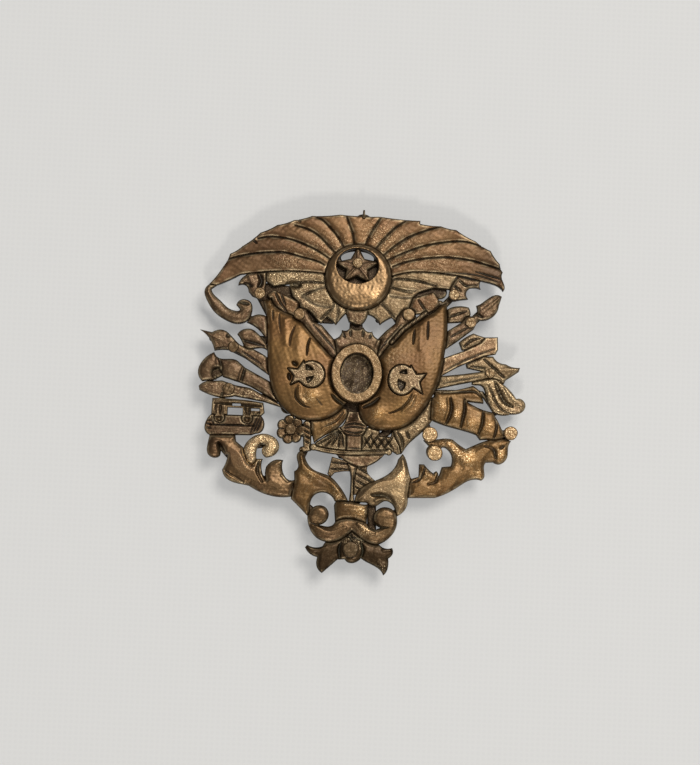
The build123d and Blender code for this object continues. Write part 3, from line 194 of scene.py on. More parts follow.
# Relief of one piece: height over its plan (x, y) is
#   base + top * (edge + (1 - edge) * sqrt(1 - (1 - t)^2)) - grooves + ridges + swells + lumps,
# where t is the distance to the outline or to the nearest seam over the shoulder's width, at most 1.
def relief(settings):
    node = settings["node"]
    step = settings.get("step", 0.15)
    loops, base, crest = baseLoops(node)
    small = [loop for loop in loops if abs(loopArea(loop)) <= settings.get("fillHoles", 0.8)]
    loops = [loop for loop in loops if abs(loopArea(loop)) > settings.get("fillHoles", 0.8)]
    loops = [loop[np.hypot(*(loop - np.roll(loop, 1, axis=0)).T) > 0.03] for loop in loops]
    rings = [refined(loop, step) for loop in loops]
    starts = np.concatenate(rings)
    ends = np.concatenate([np.roll(ring, -1, axis=0) for ring in rings])
    low, high = starts.min(axis=0), starts.max(axis=0)
    columns = np.arange(low[0], high[0], step)
    rows = np.arange(low[1], high[1], step * 0.866)
    gridX, gridY = np.meshgrid(columns, rows)
    gridX = gridX + (np.arange(len(rows)) % 2 * step / 2)[:, None]
    lattice = np.stack([gridX.ravel(), gridY.ravel()], axis=1)
    lattice = lattice[inside(lattice, starts, ends)]
    lattice = lattice[distanceTo(lattice, starts, ends) > step * 0.45]
    plan = np.concatenate([starts, lattice])
    edges, first = [], 0
    for ring in rings:
        index = first + np.arange(len(ring))
        edges += np.stack([index, np.roll(index, -1)], axis=1).tolist()
        first += len(ring)
    found = delaunay_2d_cdt([Vector(p) for p in plan.tolist()], edges, [], 0, 1e-5)
    plan = np.array([tuple(p) for p in found[0]])
    faces = np.array(found[2])
    faces = faces[inside(plan[faces].mean(axis=1), starts, ends)]
    used, faces = np.unique(faces, return_inverse=True)
    plan, faces = plan[used], faces.reshape(-1, 3)

    largest = max(abs(loopArea(ring)) for ring in rings)
    narrow = [np.full(len(ring), 1.0 if abs(loopArea(ring)) == largest else 0.12) for ring in rings]
    height, marks = reliefHeight(plan, starts, ends, np.concatenate(narrow), crest - base, settings)
    # small holes are filled as shallow pits, and their crest is lowered inside them: painted shade in place
    # of the openings
    for pit in small if "pits" in settings else []:
        pitEnds = np.roll(pit, -1, axis=0)
        within = np.where(inside(plan, pit, pitEnds), np.clip(distanceTo(plan, pit, pitEnds) / 0.16, 0, 1), 0)
        height = height - settings["pits"] * within
        marks["crest"] = marks["crest"] * (1 - 0.75 * within)
    top = np.column_stack([plan, base + height])
    # the wall goes straight down from each edge that only one triangle has, and a flat rear closes the piece
    pairs = np.concatenate([faces[:, [0, 1]], faces[:, [1, 2]], faces[:, [2, 0]]])
    size = len(plan)
    code = pairs[:, 0] * size + pairs[:, 1]
    rim = pairs[~np.isin(code, pairs[:, 1] * size + pairs[:, 0])]
    rimCorners, rimIndex = np.unique(rim, return_inverse=True)
    rimIndex = rimIndex.reshape(-1, 2)
    below = size + rimIndex
    rearPlan = plan[rimCorners]
    rear = delaunay_2d_cdt([Vector(p) for p in rearPlan.tolist()], rimIndex.tolist(), [], 0, 1e-6)
    rearFaces = np.array(rear[2])
    rearAt = np.array([tuple(p) for p in rear[0]])
    origin = np.array([members[0] for members in rear[3]])
    rearFaces = rearFaces[inside(rearAt[rearFaces].mean(axis=1), starts, ends)]
    rearFaces = origin[rearFaces][:, ::-1] + size
    corners = np.concatenate([top, np.column_stack([rearPlan, np.full(len(rearPlan), base)])])
    walls = np.column_stack([rim[:, 1], rim[:, 0], below[:, 0], below[:, 1]])
    allFaces = faces.tolist() + walls.tolist() + rearFaces.tolist()
    allMarks = {}
    # the rear corners, which are also the feet of the walls, get crest 0.15, so each wall is painted darker
    # towards its foot as shade
    for label, values in marks.items():
        under = np.full(len(rearPlan), {"crest": 0.15, "grainAndGlint": 0.0, "toneWithPaintedLight": 1.0, "rubbed": 0.0}[label])
        allMarks[label] = np.concatenate([values, under])
    return makeObject(settings["name"], corners, allFaces, allMarks, finishes[settings["finish"]], node=node)


def reliefHeight(plan, starts, ends, narrow, top, settings):
    # the height over the plan, and for each corner its crest (low crest is painted shade, high crest is
    # rubbed golden), its grain (which also sets painted glints), its tone (with painted highlights and shade)
    # and how rubbed it is
    toEdge = distanceTo(plan, starts, ends, narrow)
    seams = settings.get("seams", [])
    toSeam = lineDistance(plan, seams) if seams else np.full(len(plan), 1e9)
    shoulder, edge = settings.get("shoulder", 1.0), settings.get("edge", 0.55)
    t = np.clip(toEdge / shoulder, 0, 1)
    share = edge + (1 - edge) * np.sqrt(1 - (1 - t) ** 2)
    if seams:
        seamEdge, seamWidth = settings.get("seamEdge", 0.6), settings.get("seamWidth", shoulder)
        s = np.clip(toSeam / seamWidth, 0, 1)
        share = share * (seamEdge + (1 - seamEdge) * np.sqrt(1 - (1 - s) ** 2))
    level = top * settings.get("top", 0.94)
    height = level * share
    dome = settings.get("dome")
    if dome:
        x, y, radius = dome
        height = height - ((plan[:, 0] - x) ** 2 + (plan[:, 1] - y) ** 2) / (2 * radius)
    # crest drops within 0.2 mm of the outline and the seams, which paints shade along every edge and seam
    crest = np.clip(0.42 + 0.58 * np.minimum(toEdge, toSeam) / 0.20, 0, 1)
    # each groove is also darkened through the crest, painted shade in the groove
    for points, width, depth in settings.get("grooves", []):
        near = np.exp(-(lineDistance(plan, [points], 0.7) / width) ** 2)
        height = height - depth * near
        crest = crest * (1 - 0.9 * near ** 1.5)
    for points, width, rise in settings.get("ridges", []):
        near = np.exp(-(lineDistance(plan, [points], 0.5) / width) ** 2)
        height = height + rise * near
        crest = crest + 0.5 * near
    for x, y, radiusX, radiusY, turn, rise in settings.get("swells", []):
        c, s = math.cos(math.radians(turn)), math.sin(math.radians(turn))
        u = ((plan[:, 0] - x) * c + (plan[:, 1] - y) * s) / radiusX
        v = ((plan[:, 1] - y) * c - (plan[:, 0] - x) * s) / radiusY
        height = height + rise * np.exp(-(u ** 2 + v ** 2))
    # grain sets cast grit and painted glints; some grain spots are placed on highlights and so add painted
    # glints there
    grainAndGlint = np.full(len(plan), settings.get("grainAndGlint", 0.25))
    for x, y, radius, amount in settings.get("grainAndGlintSpots", []):
        near = np.exp(-((plan[:, 0] - x) ** 2 + (plan[:, 1] - y) ** 2) / radius ** 2)
        grainAndGlint = grainAndGlint + amount * near
    grainAndGlint = np.clip(grainAndGlint, 0, 1)
    seed = sum(map(ord, settings["node"]))
    height = height + settings.get("lump", 0.035) * waves(plan, settings.get("lumpLength", 2.6), seed)
    height = height + 0.012 * waves(plan, 0.7, seed + 1)
    height = height + grainAndGlint * settings.get("grit", 0.018) * np.random.default_rng(seed).normal(size=len(plan))
    height = np.clip(height, 0.25, top)
    # a worn line runs a little inside the edges, stronger in some stretches than in others
    rubbed = np.exp(-((np.minimum(toEdge, toSeam) - 0.26) / 0.12) ** 2)
    rubbed = rubbed * np.clip(0.6 + 0.9 * waves(plan, 1.8, seed + 2), 0, 1)
    rubbed = rubbed * settings.get("rubbed", 0.5)
    # listed tone spots raise the colour's value as painted highlights on swells and domes, and lower it as
    # painted shade, such as beside the setting; a per-piece tone sets the level under them
    toneWithPaintedLight = np.full(len(plan), settings.get("toneWithPaintedLight", 1.0))
    for x, y, radius, amount in settings.get("paintedLightAndTones", []):
        toneWithPaintedLight = toneWithPaintedLight + amount * np.exp(-((plan[:, 0] - x) ** 2 + (plan[:, 1] - y) ** 2) / radius ** 2)
    marks = {"crest": np.clip(crest, 0, 1), "grainAndGlint": grainAndGlint, "toneWithPaintedLight": np.clip(toneWithPaintedLight, 0.2, 3), "rubbed": rubbed}
    return height, marks


# ---- finishes

class Value:
    # a shader number: Python's operators on it add Math nodes
    def __init__(self, finish, socket):
        self.finish, self.socket = finish, socket

    def maths(self, operation, first, second):
        return self.finish.node("ShaderNodeMath", {"operation": operation}, {0: first, 1: second})

    def __add__(self, other):
        return self.maths("ADD", self, other)

    __radd__ = __add__

    def __sub__(self, other):
        return self.maths("SUBTRACT", self, other)

    def __rsub__(self, other):
        return self.maths("SUBTRACT", other, self)

    def __mul__(self, other):
        return self.maths("MULTIPLY", self, other)

    __rmul__ = __mul__

    def __truediv__(self, other):
        return self.maths("DIVIDE", self, other)

    def __pow__(self, other):
        return self.maths("POWER", self, other)

    def clipped(self):
        return self.finish.node("ShaderNodeClamp", {}, {0: self})


class Finish:
    # one node material; node() adds any node from its type, settings and socket values or links
    def __init__(self, name):
        self.material = bpy.data.materials.new(name)
        self.material.use_nodes = True
        self.nodes = self.material.node_tree.nodes
        self.links = self.material.node_tree.links
        self.surface = self.nodes["Principled BSDF"]

    def node(self, kind, settings, sockets, output=0):
        made = self.nodes.new(kind)
        for key, setting in settings.items():
            if key == "stops":
                ramp = made.color_ramp
                for number, (place, colour) in enumerate(setting):
                    stop = ramp.elements[number] if number < 2 else ramp.elements.new(place)
                    stop.position, stop.color = place, (*colour, 1)
            else:
                setattr(made, key, setting)
        self.connect(made, sockets)
        return Value(self, made.outputs[output])

    def connect(self, made, sockets):
        for key, value in sockets.items():
            if isinstance(value, Value):
                self.links.new(value.socket, made.inputs[key])
            else:
                made.inputs[key].default_value = value

    def mark(self, label):
        return self.node("ShaderNodeAttribute", {"attribute_name": label}, {}, "Fac")

    def blend(self, amount, first, second, kind="MIX"):
        # colour mix; a plain colour is a tuple of three
        colours = [(*c, 1) if isinstance(c, tuple) else c for c in (first, second)]
        return self.node("ShaderNodeMix", {"data_type": "RGBA", "blend_type": kind, "clamp_factor": True},
                         {0: amount, 6: colours[0], 7: colours[1]}, 2)

    def noise(self, place, scale, detail=2.0, roughness=0.5):
        return self.node("ShaderNodeTexNoise", {}, {"Vector": place, "Scale": scale, "Detail": detail,
                                                    "Roughness": roughness})

    def place(self):
        # object coordinates in millimetres
        where = self.node("ShaderNodeTexCoord", {}, {}, "Object")
        return self.node("ShaderNodeMapping", {}, {"Vector": where, "Scale": (1 / mm, 1 / mm, 1 / mm)})


# Brass: hollows, seams and edges painted dark as shade, body brown, crests rubbed golden, with painted glints
# on bright grains where the casting is grainy.
#   colour = mix(painted shade, body, crest) -> golden by crest^2 * patches -> painted glint by grain *
#   speckle
def brass(name, paintedShadeColour, body, gold, glintAndWearColour=(0.62, 0.48, 0.28), rub=0.6, sparkle=0.9, rough=0.43, green=0.25,
          bump=1.0, rose=0.5):
    finish = Finish(name)
    place = finish.place()
    patches = finish.noise(place, 0.22, 3.0)
    blush = finish.noise(place, 0.13, 2.0)
    mottle = finish.noise(place, 1.3, 4.0, 0.6)
    speckle = finish.noise(place, 4.6, 2.0, 0.6)
    crest, grainAndGlint = finish.mark("crest"), finish.mark("grainAndGlint")
    worn = ((patches - 0.40) * 3.0).clipped()
    # where grain and speckle peak, the colour is lifted to a painted glint and roughness lowered
    glintingGrains = ((speckle - 0.55) * 9.0).clipped() * grainAndGlint
    # low crest mixes towards the painted shade colour
    colour = finish.blend(crest ** 1.4, paintedShadeColour, body)
    colour = finish.blend((worn * rub * crest * crest + (mottle - 0.5) * 0.6 * crest).clipped(), colour, gold)
    colour = finish.blend(((0.5 - blush) * 4.0 * rose).clipped(), colour, (0.93, 0.80, 1.05), "MULTIPLY")
    colour = finish.blend((1 - crest) * green * worn, colour, (0.10, 0.10, 0.03))
    colour = finish.blend((glintingGrains * sparkle).clipped(), colour, glintAndWearColour)
    colour = finish.blend((finish.mark("rubbed") * (mottle * 1.6)).clipped(), colour, glintAndWearColour)
    # where speckle is low the bump dips and the colour darkens, painted shade in these small pits
    pits = ((0.40 - speckle) * 7.0).clipped() * grainAndGlint
    colour = finish.blend((pits * 0.75).clipped(), colour, paintedShadeColour)
    # the value is scaled by the tone mark, which carries painted highlights and painted shade
    colour = finish.node("ShaderNodeHueSaturation", {}, {"Value": finish.mark("toneWithPaintedLight"), "Color": colour})
    roughness = (rough + 0.20 * (1 - crest) + (mottle - 0.5) * 0.2 - glintingGrains * 0.10).clipped()
    relief = speckle * (0.05 + grainAndGlint * 0.95) + mottle * 0.5
    normal = finish.node("ShaderNodeBump", {},
                         {"Strength": 0.36 * bump, "Distance": 0.12 * mm, "Height": relief})
    finish.connect(finish.surface, {"Base Color": colour, "Roughness": roughness, "Normal": normal,
                                    "Metallic": (0.60 + 0.30 * crest).clipped(), "Coat Weight": 0.08,
                                    "Coat Roughness": 0.25})
    return finish.material


finishes = {
    "fanBrass": brass("fan brass", (0.010, 0.006, 0.003), (0.080, 0.040, 0.0155),
                   (0.126, 0.072, 0.031), sparkle=0.6),
    "drapeBrass": brass("drape brass", (0.012, 0.007, 0.003), (0.100, 0.052, 0.017),
                   (0.140, 0.079, 0.027), sparkle=0.6),
    "moonBrass": brass("moon brass", (0.014, 0.008, 0.004), (0.128, 0.075, 0.033),
                   (0.168, 0.107, 0.050), sparkle=0.7,
                       rough=0.35, rose=0.1, rub=0.35),
    "goldBrass": brass("golden brass", (0.012, 0.007, 0.003), (0.115, 0.072, 0.034), (0.175, 0.120, 0.060)),
    "scrollBrass": brass("scroll brass", (0.009, 0.005, 0.002), (0.085, 0.047, 0.019),
                   (0.125, 0.073, 0.030), rub=0.5,
                         rough=0.38),
    "bowBrass": brass("bow brass", (0.006, 0.004, 0.001), (0.030, 0.0155, 0.005),
                   (0.050, 0.028, 0.010), rub=0.5,
                      rough=0.40, rose=0.0),
    "weaponBrass": brass("weapon brass", (0.009, 0.005, 0.003), (0.076, 0.042, 0.020),
                   (0.115, 0.070, 0.034)),
    "filedBrass": brass("filed brass", (0.022, 0.013, 0.006), (0.150, 0.088, 0.038),
                   (0.215, 0.135, 0.062), rub=0.8,
                        rough=0.48, green=0.0, rose=0.2),
    "recessBrass": brass("recess brass", (0.026, 0.020, 0.014), (0.085, 0.056, 0.034),
                   (0.150, 0.100, 0.050), rub=0.7,
                         rough=0.7, bump=1.2),
    "plateBrass": brass("plate brass", (0.007, 0.004, 0.002), (0.036, 0.020, 0.009),
                   (0.062, 0.038, 0.018), rub=0.4,
                        rough=0.55),
    "wireBrass": brass("wire brass", (0.014, 0.009, 0.004), (0.085, 0.056, 0.024), (0.145, 0.10, 0.05)),
}
print("finishes made")


# ---- the middle: plate, setting, palmette and staffs

plateSettings = {"name": "piercedPlate", "node": "back_plate", "finish": "plateBrass", "step": 0.31,
                 "edge": 0.88, "shoulder": 0.12, "top": 1.0, "lump": 0.0, "fillHoles": 0.3, "grainAndGlint": 0.18, "grit": 0.004}
relief(plateSettings)

collarSettings = {"node": "setting_collar", "wall": 1.63, "lean": 0.10, "bevel": 0.10, "around": 220}


def collar(settings):
    # an oval ring: a closed profile (outward offset, height) carried round the oval a cos(u), b sin(u)
    low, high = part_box(settings["node"])
    centre = [(low[i] + high[i]) / 2 / mm for i in (0, 1)]
    outer = [(high[i] - low[i]) / 2 / mm for i in (0, 1)]
    floor, rim = low[2] / mm, high[2] / mm
    bevel, wall, lean = settings["bevel"], settings["wall"], settings["lean"]
    profile = [(0.0, floor), (0.0, floor + 1.5), (-lean, rim - bevel * 1.6),
               (-lean - 0.05, rim - bevel * 0.8), (-lean - bevel * 0.5, rim - 0.06), (-lean - bevel, rim)]
    profile += [(-lean - bevel - s * (wall - 2 * bevel - lean), rim) for s in np.linspace(0.08, 1, 12)]
    profile += [(-wall + bevel * 0.3, rim - 0.05), (-wall, rim - bevel * 0.6), (-wall, rim - 1.0),
                (-wall, floor)]
    offset, height = np.array(profile).T
    u = np.linspace(0, 2 * math.pi, settings["around"], endpoint=False)[:, None]
    x = centre[0] + (outer[0] + offset) * np.cos(u)
    y = centre[1] + (outer[1] + offset) * np.sin(u)
    flat = np.column_stack([x.ravel(), y.ravel()])
    z = np.tile(height, (len(u), 1)).ravel()
    onRim = z > rim - 0.05
    z = z - np.where(onRim, 0.03 + 0.025 * waves(flat, 1.6, 3) + 0.012 * waves(flat, 0.5, 4), 0)
    side = np.where(onRim, 0, 0.025 * waves(np.column_stack([flat[:, 0], z * 2 + flat[:, 1]]), 1.1, 5))
    away = flat - centre
    flat = flat + away / np.linalg.norm(away, axis=1)[:, None] * side[:, None]
    faces = gridFaces(len(u), len(profile), closedRows=True, closedColumns=True)
    # the wall's crest falls towards its foot, painting it darker there as shade; the rim keeps full crest
    crest = np.where(z > rim - 0.3, 1.0, 0.25 + 0.35 * (z - floor) / (rim - floor))
    marks = {"crest": crest, "grainAndGlint": np.where(onRim, 0.55, 0.25)}
    makeObject("settingRim", np.column_stack([flat, z]), faces, marks, finishes["filedBrass"],
               node=settings["node"])


collar(collarSettings)

relief({"name": "settingBed", "node": "setting_floor", "finish": "recessBrass", "step": 0.12, "edge": 0.90,
        "shoulder": 0.30, "top": 0.8, "lump": 0.12, "lumpLength": 1.5, "grainAndGlint": 0.45, "grit": 0.03,
        "toneWithPaintedLight": 1.2, "paintedLightAndTones": [(0.9, 3.6, 0.8, 0.9), (0.6, 2.0, 0.7, 0.5)],
        "swells": [(0.9, 3.6, 0.5, 1.3, 0, 0.22), (-2.2, 1.4, 0.8, 0.7, 0, -0.2)]})

relief({"name": "palmetteLeaf", "node": "palmette", "finish": "weaponBrass", "edge": 0.83,
        "shoulder": 0.58, "swells": [(-4.0, 8.1, 0.9, 0.9, 0, 0.1)],
        "ridges": [([(-4.6, 9.3), (-4.2, 8.4)], 0.25, 0.12), ([(3.2, 9.2), (2.7, 8.2)], 0.25, 0.12)],
        "grooves": [([(-2.1, 11.2), (-2.0, 9.8)], 0.2, 0.25), ([(0.3, 11.2), (0.2, 9.8)], 0.2, 0.25),
            ([(-3.5, 10.6), (-3.0, 9.5)], 0.2, 0.2), ([(1.8, 10.5), (1.4, 9.5)], 0.2, 0.2)]})

relief({"name": "leftStaff", "node": "left_staff", "finish": "weaponBrass", "edge": 0.75, "shoulder": 0.81,
        "grooves": [([(-8.8, 11.6), (-6.4, 9.0), (-3.8, 6.4)], 0.16, 0.16)], "grainAndGlint": 0.21})
relief({"name": "rightStaff", "node": "right_staff", "finish": "weaponBrass", "edge": 0.75,
        "shoulder": 0.81, "grooves": [([(7.2, 12.2), (5.0, 9.6), (2.6, 6.8)], 0.16, 0.16)], "grainAndGlint": 0.21})
relief({"name": "staffCord", "node": "staff_cord", "finish": "weaponBrass", "edge": 0.67, "shoulder": 0.40,
        "step": 0.12,
        "grooves": [([(x, y + 0.5), (x + 0.5, y - 0.5)], 0.13, 0.25) for x,
            y in zip(np.linspace(5.6, 10.9, 9), np.linspace(9.4, 13.9, 9))]})
print("middle made")

# ---- drapes, hems and medallions

# tone spots here paint a highlight on the lower swell at (-8.6, -1.4) and painted shade beside the setting at
# (-6.0, 3.0)
relief({"name": "leftDrape", "node": "left_drape", "finish": "drapeBrass", "toneWithPaintedLight": 1.22, "edge": 0.76,
        "shoulder": 1.0, "step": 0.13, "rubbed": 0.3,
        "paintedLightAndTones": [(-8.6, -1.4, 1.0, 1.0), (-14.8, 9.0, 3.0, 0.3), (-9.0, 9.5, 2.0, 0.2),
            (-6.0, 3.0, 2.2, -0.25), (-12.0, -3.0, 3.0, -0.3)], "dome": (-9.0, 1.5, 75), "grainAndGlint": 0.04,
        "lump": 0.035, "lumpLength": 5.0, "grit": 0.008,
        "grooves": [([(-15.0, 13.4), (-14.9, 11.6), (-14.6, 9.8)], 0.11, 0.25),
            ([(-12.1, 11.2), (-12.7, 9.4), (-12.9, 7.6)], 0.12, 0.35),
            ([(-9.2, 9.2), (-9.6, 8.0), (-9.75, 6.0)], 0.12, 0.80),
            ([(-11.5, 0.0), (-11.5, -1.5), (-11.0, -2.3), (-10.0, -3.1), (-8.9, -3.4)], 0.12, 0.50),
            # the wide grooves from (-12.1, 4.6) and (-12.8, 2.5) are darkened as painted shade of the
            # openings between the medallion star's arms
            ([(-7.7, -1.7), (-6.7, -2.9)], 0.10, 0.15), ([(-12.1, 4.6), (-11.5, 4.2)], 0.30, 0.8),
            ([(-12.8, 2.5), (-12.6, 1.5)], 0.26, 0.8),
            ([(-4.9, -1.0), (-3.8, -2.0), (-2.2, -3.0)], 0.35, 0.5),
            ([(-16.2, 14.0), (-16.1, 12.2)], 0.12, 0.25)],
        "ridges": [([(-10.9, 0.3), (-10.7, -1.6), (-9.6, -2.7)], 0.35, 0.14),
            ([(-13.9, 12.2), (-13.6, 8.0)], 0.7, 0.14)],
        "swells": [(-8.4, -1.3, 1.3, 1.0, 0, 0.2), (-14.4, 3.0, 1.8, 6.0, -12, 0.15),
            (-11.3, 8.0, 0.9, 3.0, 0, 0.15)],
        "grainAndGlintSpots": [(-8.6, -1.4, 1.2, 0.6), (-16.6, 14.6, 1.4, 0.5), (-10.0, -2.0, 0.9, 0.5)]})
# tone spots here paint a highlight on the swell at (3.5, -4.1) and painted shade beside the setting at (4.8,
# 4.0)
relief({"name": "rightDrape", "node": "right_drape", "finish": "drapeBrass", "toneWithPaintedLight": 0.86, "edge": 0.76,
        "shoulder": 1.0, "step": 0.13, "rubbed": 0.3,
        "paintedLightAndTones": [(3.5, -4.1, 1.1, 1.5), (9.2, -1.6, 1.8, 0.9), (12.2, 6.0, 3.0, 0.1),
            (4.8, 4.0, 2.4, -0.2), (6.5, -4.6, 2.5, 0.6)], "dome": (7.5, 1.5, 75), "grainAndGlint": 0.04,
        "lump": 0.035, "lumpLength": 5.0, "grit": 0.008,
        "grooves": [([(9.5, 11.4), (9.3, 8.8)], 0.15, 0.40), ([(11.9, 13.0), (11.9, 9.8)], 0.14, 0.25),
            ([(10.2, 1.9), (10.0, 1.1)], 0.26, 0.8), ([(9.3, 3.7), (9.9, 3.6)], 0.2, 0.5),
            ([(3.5, -1.2), (2.4, -2.2), (0.8, -3.0)], 0.35, 0.5),
            ([(9.4, -0.2), (8.8, -1.5), (7.8, -2.7), (6.5, -3.5), (5.4, -3.9)], 0.12, 0.55)],
        "ridges": [([(10.0, -0.6), (9.2, -2.2), (7.9, -3.4)], 0.4, 0.16),
            ([(10.7, 12.0), (10.6, 8.0)], 0.7, 0.12)],
        "swells": [(3.5, -4.0, 1.6, 1.1, 20, 0.22), (12.4, 3.0, 1.5, 5.5, 8, 0.15),
            (5.0, -5.6, 1.4, 0.8, 0, 0.12)],
        "grainAndGlintSpots": [(3.4, -4.1, 1.0, 0.6), (9.6, -1.8, 1.6, 0.6), (6.0, 6.0, 2.0, 0.3)]})
relief({"name": "leftHem", "node": "left_hem", "finish": "drapeBrass", "edge": 0.73, "shoulder": 0.75,
        "grainAndGlint": 0.15,
        "ridges": [([(-6.4, -7.0), (-4.2, -5.9), (-2.7, -4.3)], 0.25, 0.16),
            ([(-5.6, -7.4), (-3.6, -6.0)], 0.2, 0.12)],
        "grooves": [([(-6.0, -6.6), (-3.9, -5.5), (-2.8, -4.0)], 0.16, 0.3)],
        "grainAndGlintSpots": [(-4.6, -6.2, 1.2, 0.5)]})
relief({"name": "rightHem", "node": "right_hem", "finish": "goldBrass", "edge": 0.73, "shoulder": 0.70,
        "grainAndGlint": 0.56,
        "grooves": [([(7.0, -7.2), (7.9, -8.4), (8.2, -10.6)], 0.2, 0.5),
            ([(8.7, -7.0), (9.2, -8.2)], 0.2, 0.35)], "swells": [(7.4, -7.6, 0.8, 0.8, 0, 0.15)]})
relief({"name": "leftMedallion", "node": "left_medallion", "finish": "goldBrass", "edge": 0.86,
        "shoulder": 0.30, "step": 0.11, "top": 0.97, "grainAndGlint": 0.56, "lump": 0.02, "fillHoles": 5.0,
        "pits": 1.3})
relief({"name": "rightMedallion", "node": "right_medallion", "finish": "goldBrass", "edge": 0.86,
        "shoulder": 0.30, "step": 0.11, "top": 0.97, "grainAndGlint": 0.56, "lump": 0.02, "fillHoles": 5.0,
        "pits": 1.3})
print("drapes made")

# ---- crescent, star, fan and rays

# tone spots low on the crescent, at (-2.9, 17.0) and (2.3, 17.0), are painted highlights on its dome
relief({"name": "topCrescent", "node": "top_crescent", "finish": "moonBrass", "edge": 0.66,
        "shoulder": 1.4, "step": 0.125, "toneWithPaintedLight": 1.12, "grainAndGlint": 0.04, "lump": 0.02, "lumpLength": 2.4,
        "top": 0.93, "grit": 0.006,
        "paintedLightAndTones": [(-2.9, 17.0, 0.7, 1.0), (-1.2, 16.4, 0.5, 0.7), (2.3, 17.0, 1.0, 1.5),
            (-5.5, 20.0, 1.5, -0.2), (0.4, 16.6, 1.2, 0.4)], "swells": [(-1.0, 17.4, 3.4, 1.3, 0, 0.12)],
        "grainAndGlintSpots": [(-2.8, 17.0, 0.9, 0.4), (2.6, 17.2, 1.0, 0.6)]})
relief({"name": "topStar", "node": "top_star", "finish": "weaponBrass", "edge": 0.73, "shoulder": 0.5,
        "step": 0.12, "grainAndGlint": 0.21,
        "ridges": [([(-1.25, 22.7), tip], 0.22, 0.14) for tip in ((-1.25, 25.8), (-4.9, 23.2),
            (-3.5, 20.0), (1.0, 20.0), (2.4, 23.2))]})

leftSeams = [
    [(-7.2, 22.55), (-8.5, 23.2), (-11.5, 23.9), (-14, 24.5), (-16, 24.55), (-20, 24.15), (-23.5, 23.3),
     (-25.2, 22.6)],
    [(-6.1, 23.6), (-8, 24.8), (-10, 25.8), (-13.5, 27), (-17, 27.35), (-19.4, 26.9)],
    [(-5.1, 24.6), (-6.5, 26), (-8, 27.5), (-10, 28.8), (-12.8, 29.6)],
    [(-3.6, 25.5), (-4.9, 27.7), (-6.2, 29.2), (-7.8, 30.7), (-9, 31.2)],
    [(-1.85, 26), (-2.3, 28.5), (-3.1, 30.5), (-3.5, 31.6)],
]
rightSeams = [
    [(-0.1, 26.1), (0.9, 28.5), (2.1, 30.6), (2.6, 31.5)],
    [(1.7, 25.5), (3.2, 27.5), (5.1, 29.6), (7.2, 31.2)],
    [(3.15, 24.5), (5.5, 26.6), (8, 28.3), (11.3, 29.7), (13.5, 30.4)],
    [(4.1, 23.9), (7, 25.3), (10.5, 26.7), (14.5, 27.6), (18, 27.85), (21.2, 27.1)],
    [(5.1, 22.75), (7.5, 23.7), (11, 24.5), (15, 24.85), (19, 24.5), (22, 23.8), (25, 23)],
]
# tone spots paint the fan lighter across its middle and darker towards its ends, painted light and shade over
# its curve
relief({"name": "rayFan", "node": "ray_fan",
        "paintedLightAndTones": [(-20, 25.0, 6.0, -0.3), (0, 28.0, 6.0, 0.45), (24, 23.0, 4.5, -0.5), (-9, 26, 5, 0.1),
            (14, 26, 4, 0.15)], "finish": "fanBrass", "step": 0.12, "edge": 0.85, "shoulder": 0.70,
        "seams": leftSeams + rightSeams, "seamEdge": 0.80, "seamWidth": 1.2, "grainAndGlint": 0.04, "lump": 0.04,
        "lumpLength": 4.0, "top": 0.97,
        "grooves": [(line, 0.095, 0.5) for line in leftSeams + rightSeams] + [([(-12.5, 31.0),
            (-11.9, 30.2)], 0.15, 0.3), ([(-20.5, 26.8), (-19.6, 26.0)], 0.15, 0.3),
            ([(20.2, 22.4), (25.2, 21.2)], 0.14, 0.25),
            ([(12.5, 21.9), (19.5, 21.9), (24.6, 20.6)], 0.13, 0.2)],
        "grainAndGlintSpots": [(-13.5, 22.4, 3.0, 0.5), (-8.5, 25.5, 2.4, 0.4), (-5.0, 26.5, 2.0, 0.35),
            (3.5, 27.0, 3.0, 0.5), (7.5, 25.5, 3.0, 0.4), (14.0, 23.0, 4.0, 0.3), (1.0, 29.0, 2.0, 0.3)]})

relief({"name": "leftRays", "node": "left_rays", "finish": "goldBrass", "edge": 0.78, "shoulder": 0.64,
        "grainAndGlint": 0.52,
        "seams": [[(-12.9, 19.0), (-10.0, 19.4), (-7.0, 19.3)],
            [(-11.0, 16.9), (-8.6, 18.0), (-6.9, 18.6)], [(-11.0, 16.7), (-8.8, 15.4), (-6.0, 14.9)],
            [(-7.4, 12.7), (-5.6, 14.7), (-5.0, 16.2)], [(-4.6, 12.0), (-4.4, 13.8), (-4.6, 15.4)]],
        "seamEdge": 0.8, "seamWidth": 0.7,
        "grooves": [([(-12.9, 19.0), (-10.0, 19.4), (-7.2, 19.3)], 0.14, 0.4),
            # the wide deep groove from (-13.6, 18.75) is darkened as painted shade of the hole beside the
            # pennon
            ([(-13.6, 18.75), (-11.6, 18.7)], 0.5, 1.2), ([(-7.4, 12.7), (-5.8, 14.5)], 0.14, 0.45),
            ([(-10.8, 16.8), (-9.0, 17.9)], 0.14, 0.4)], "grainAndGlintSpots": [(-13.0, 20.1, 3.5, 0.35)]})
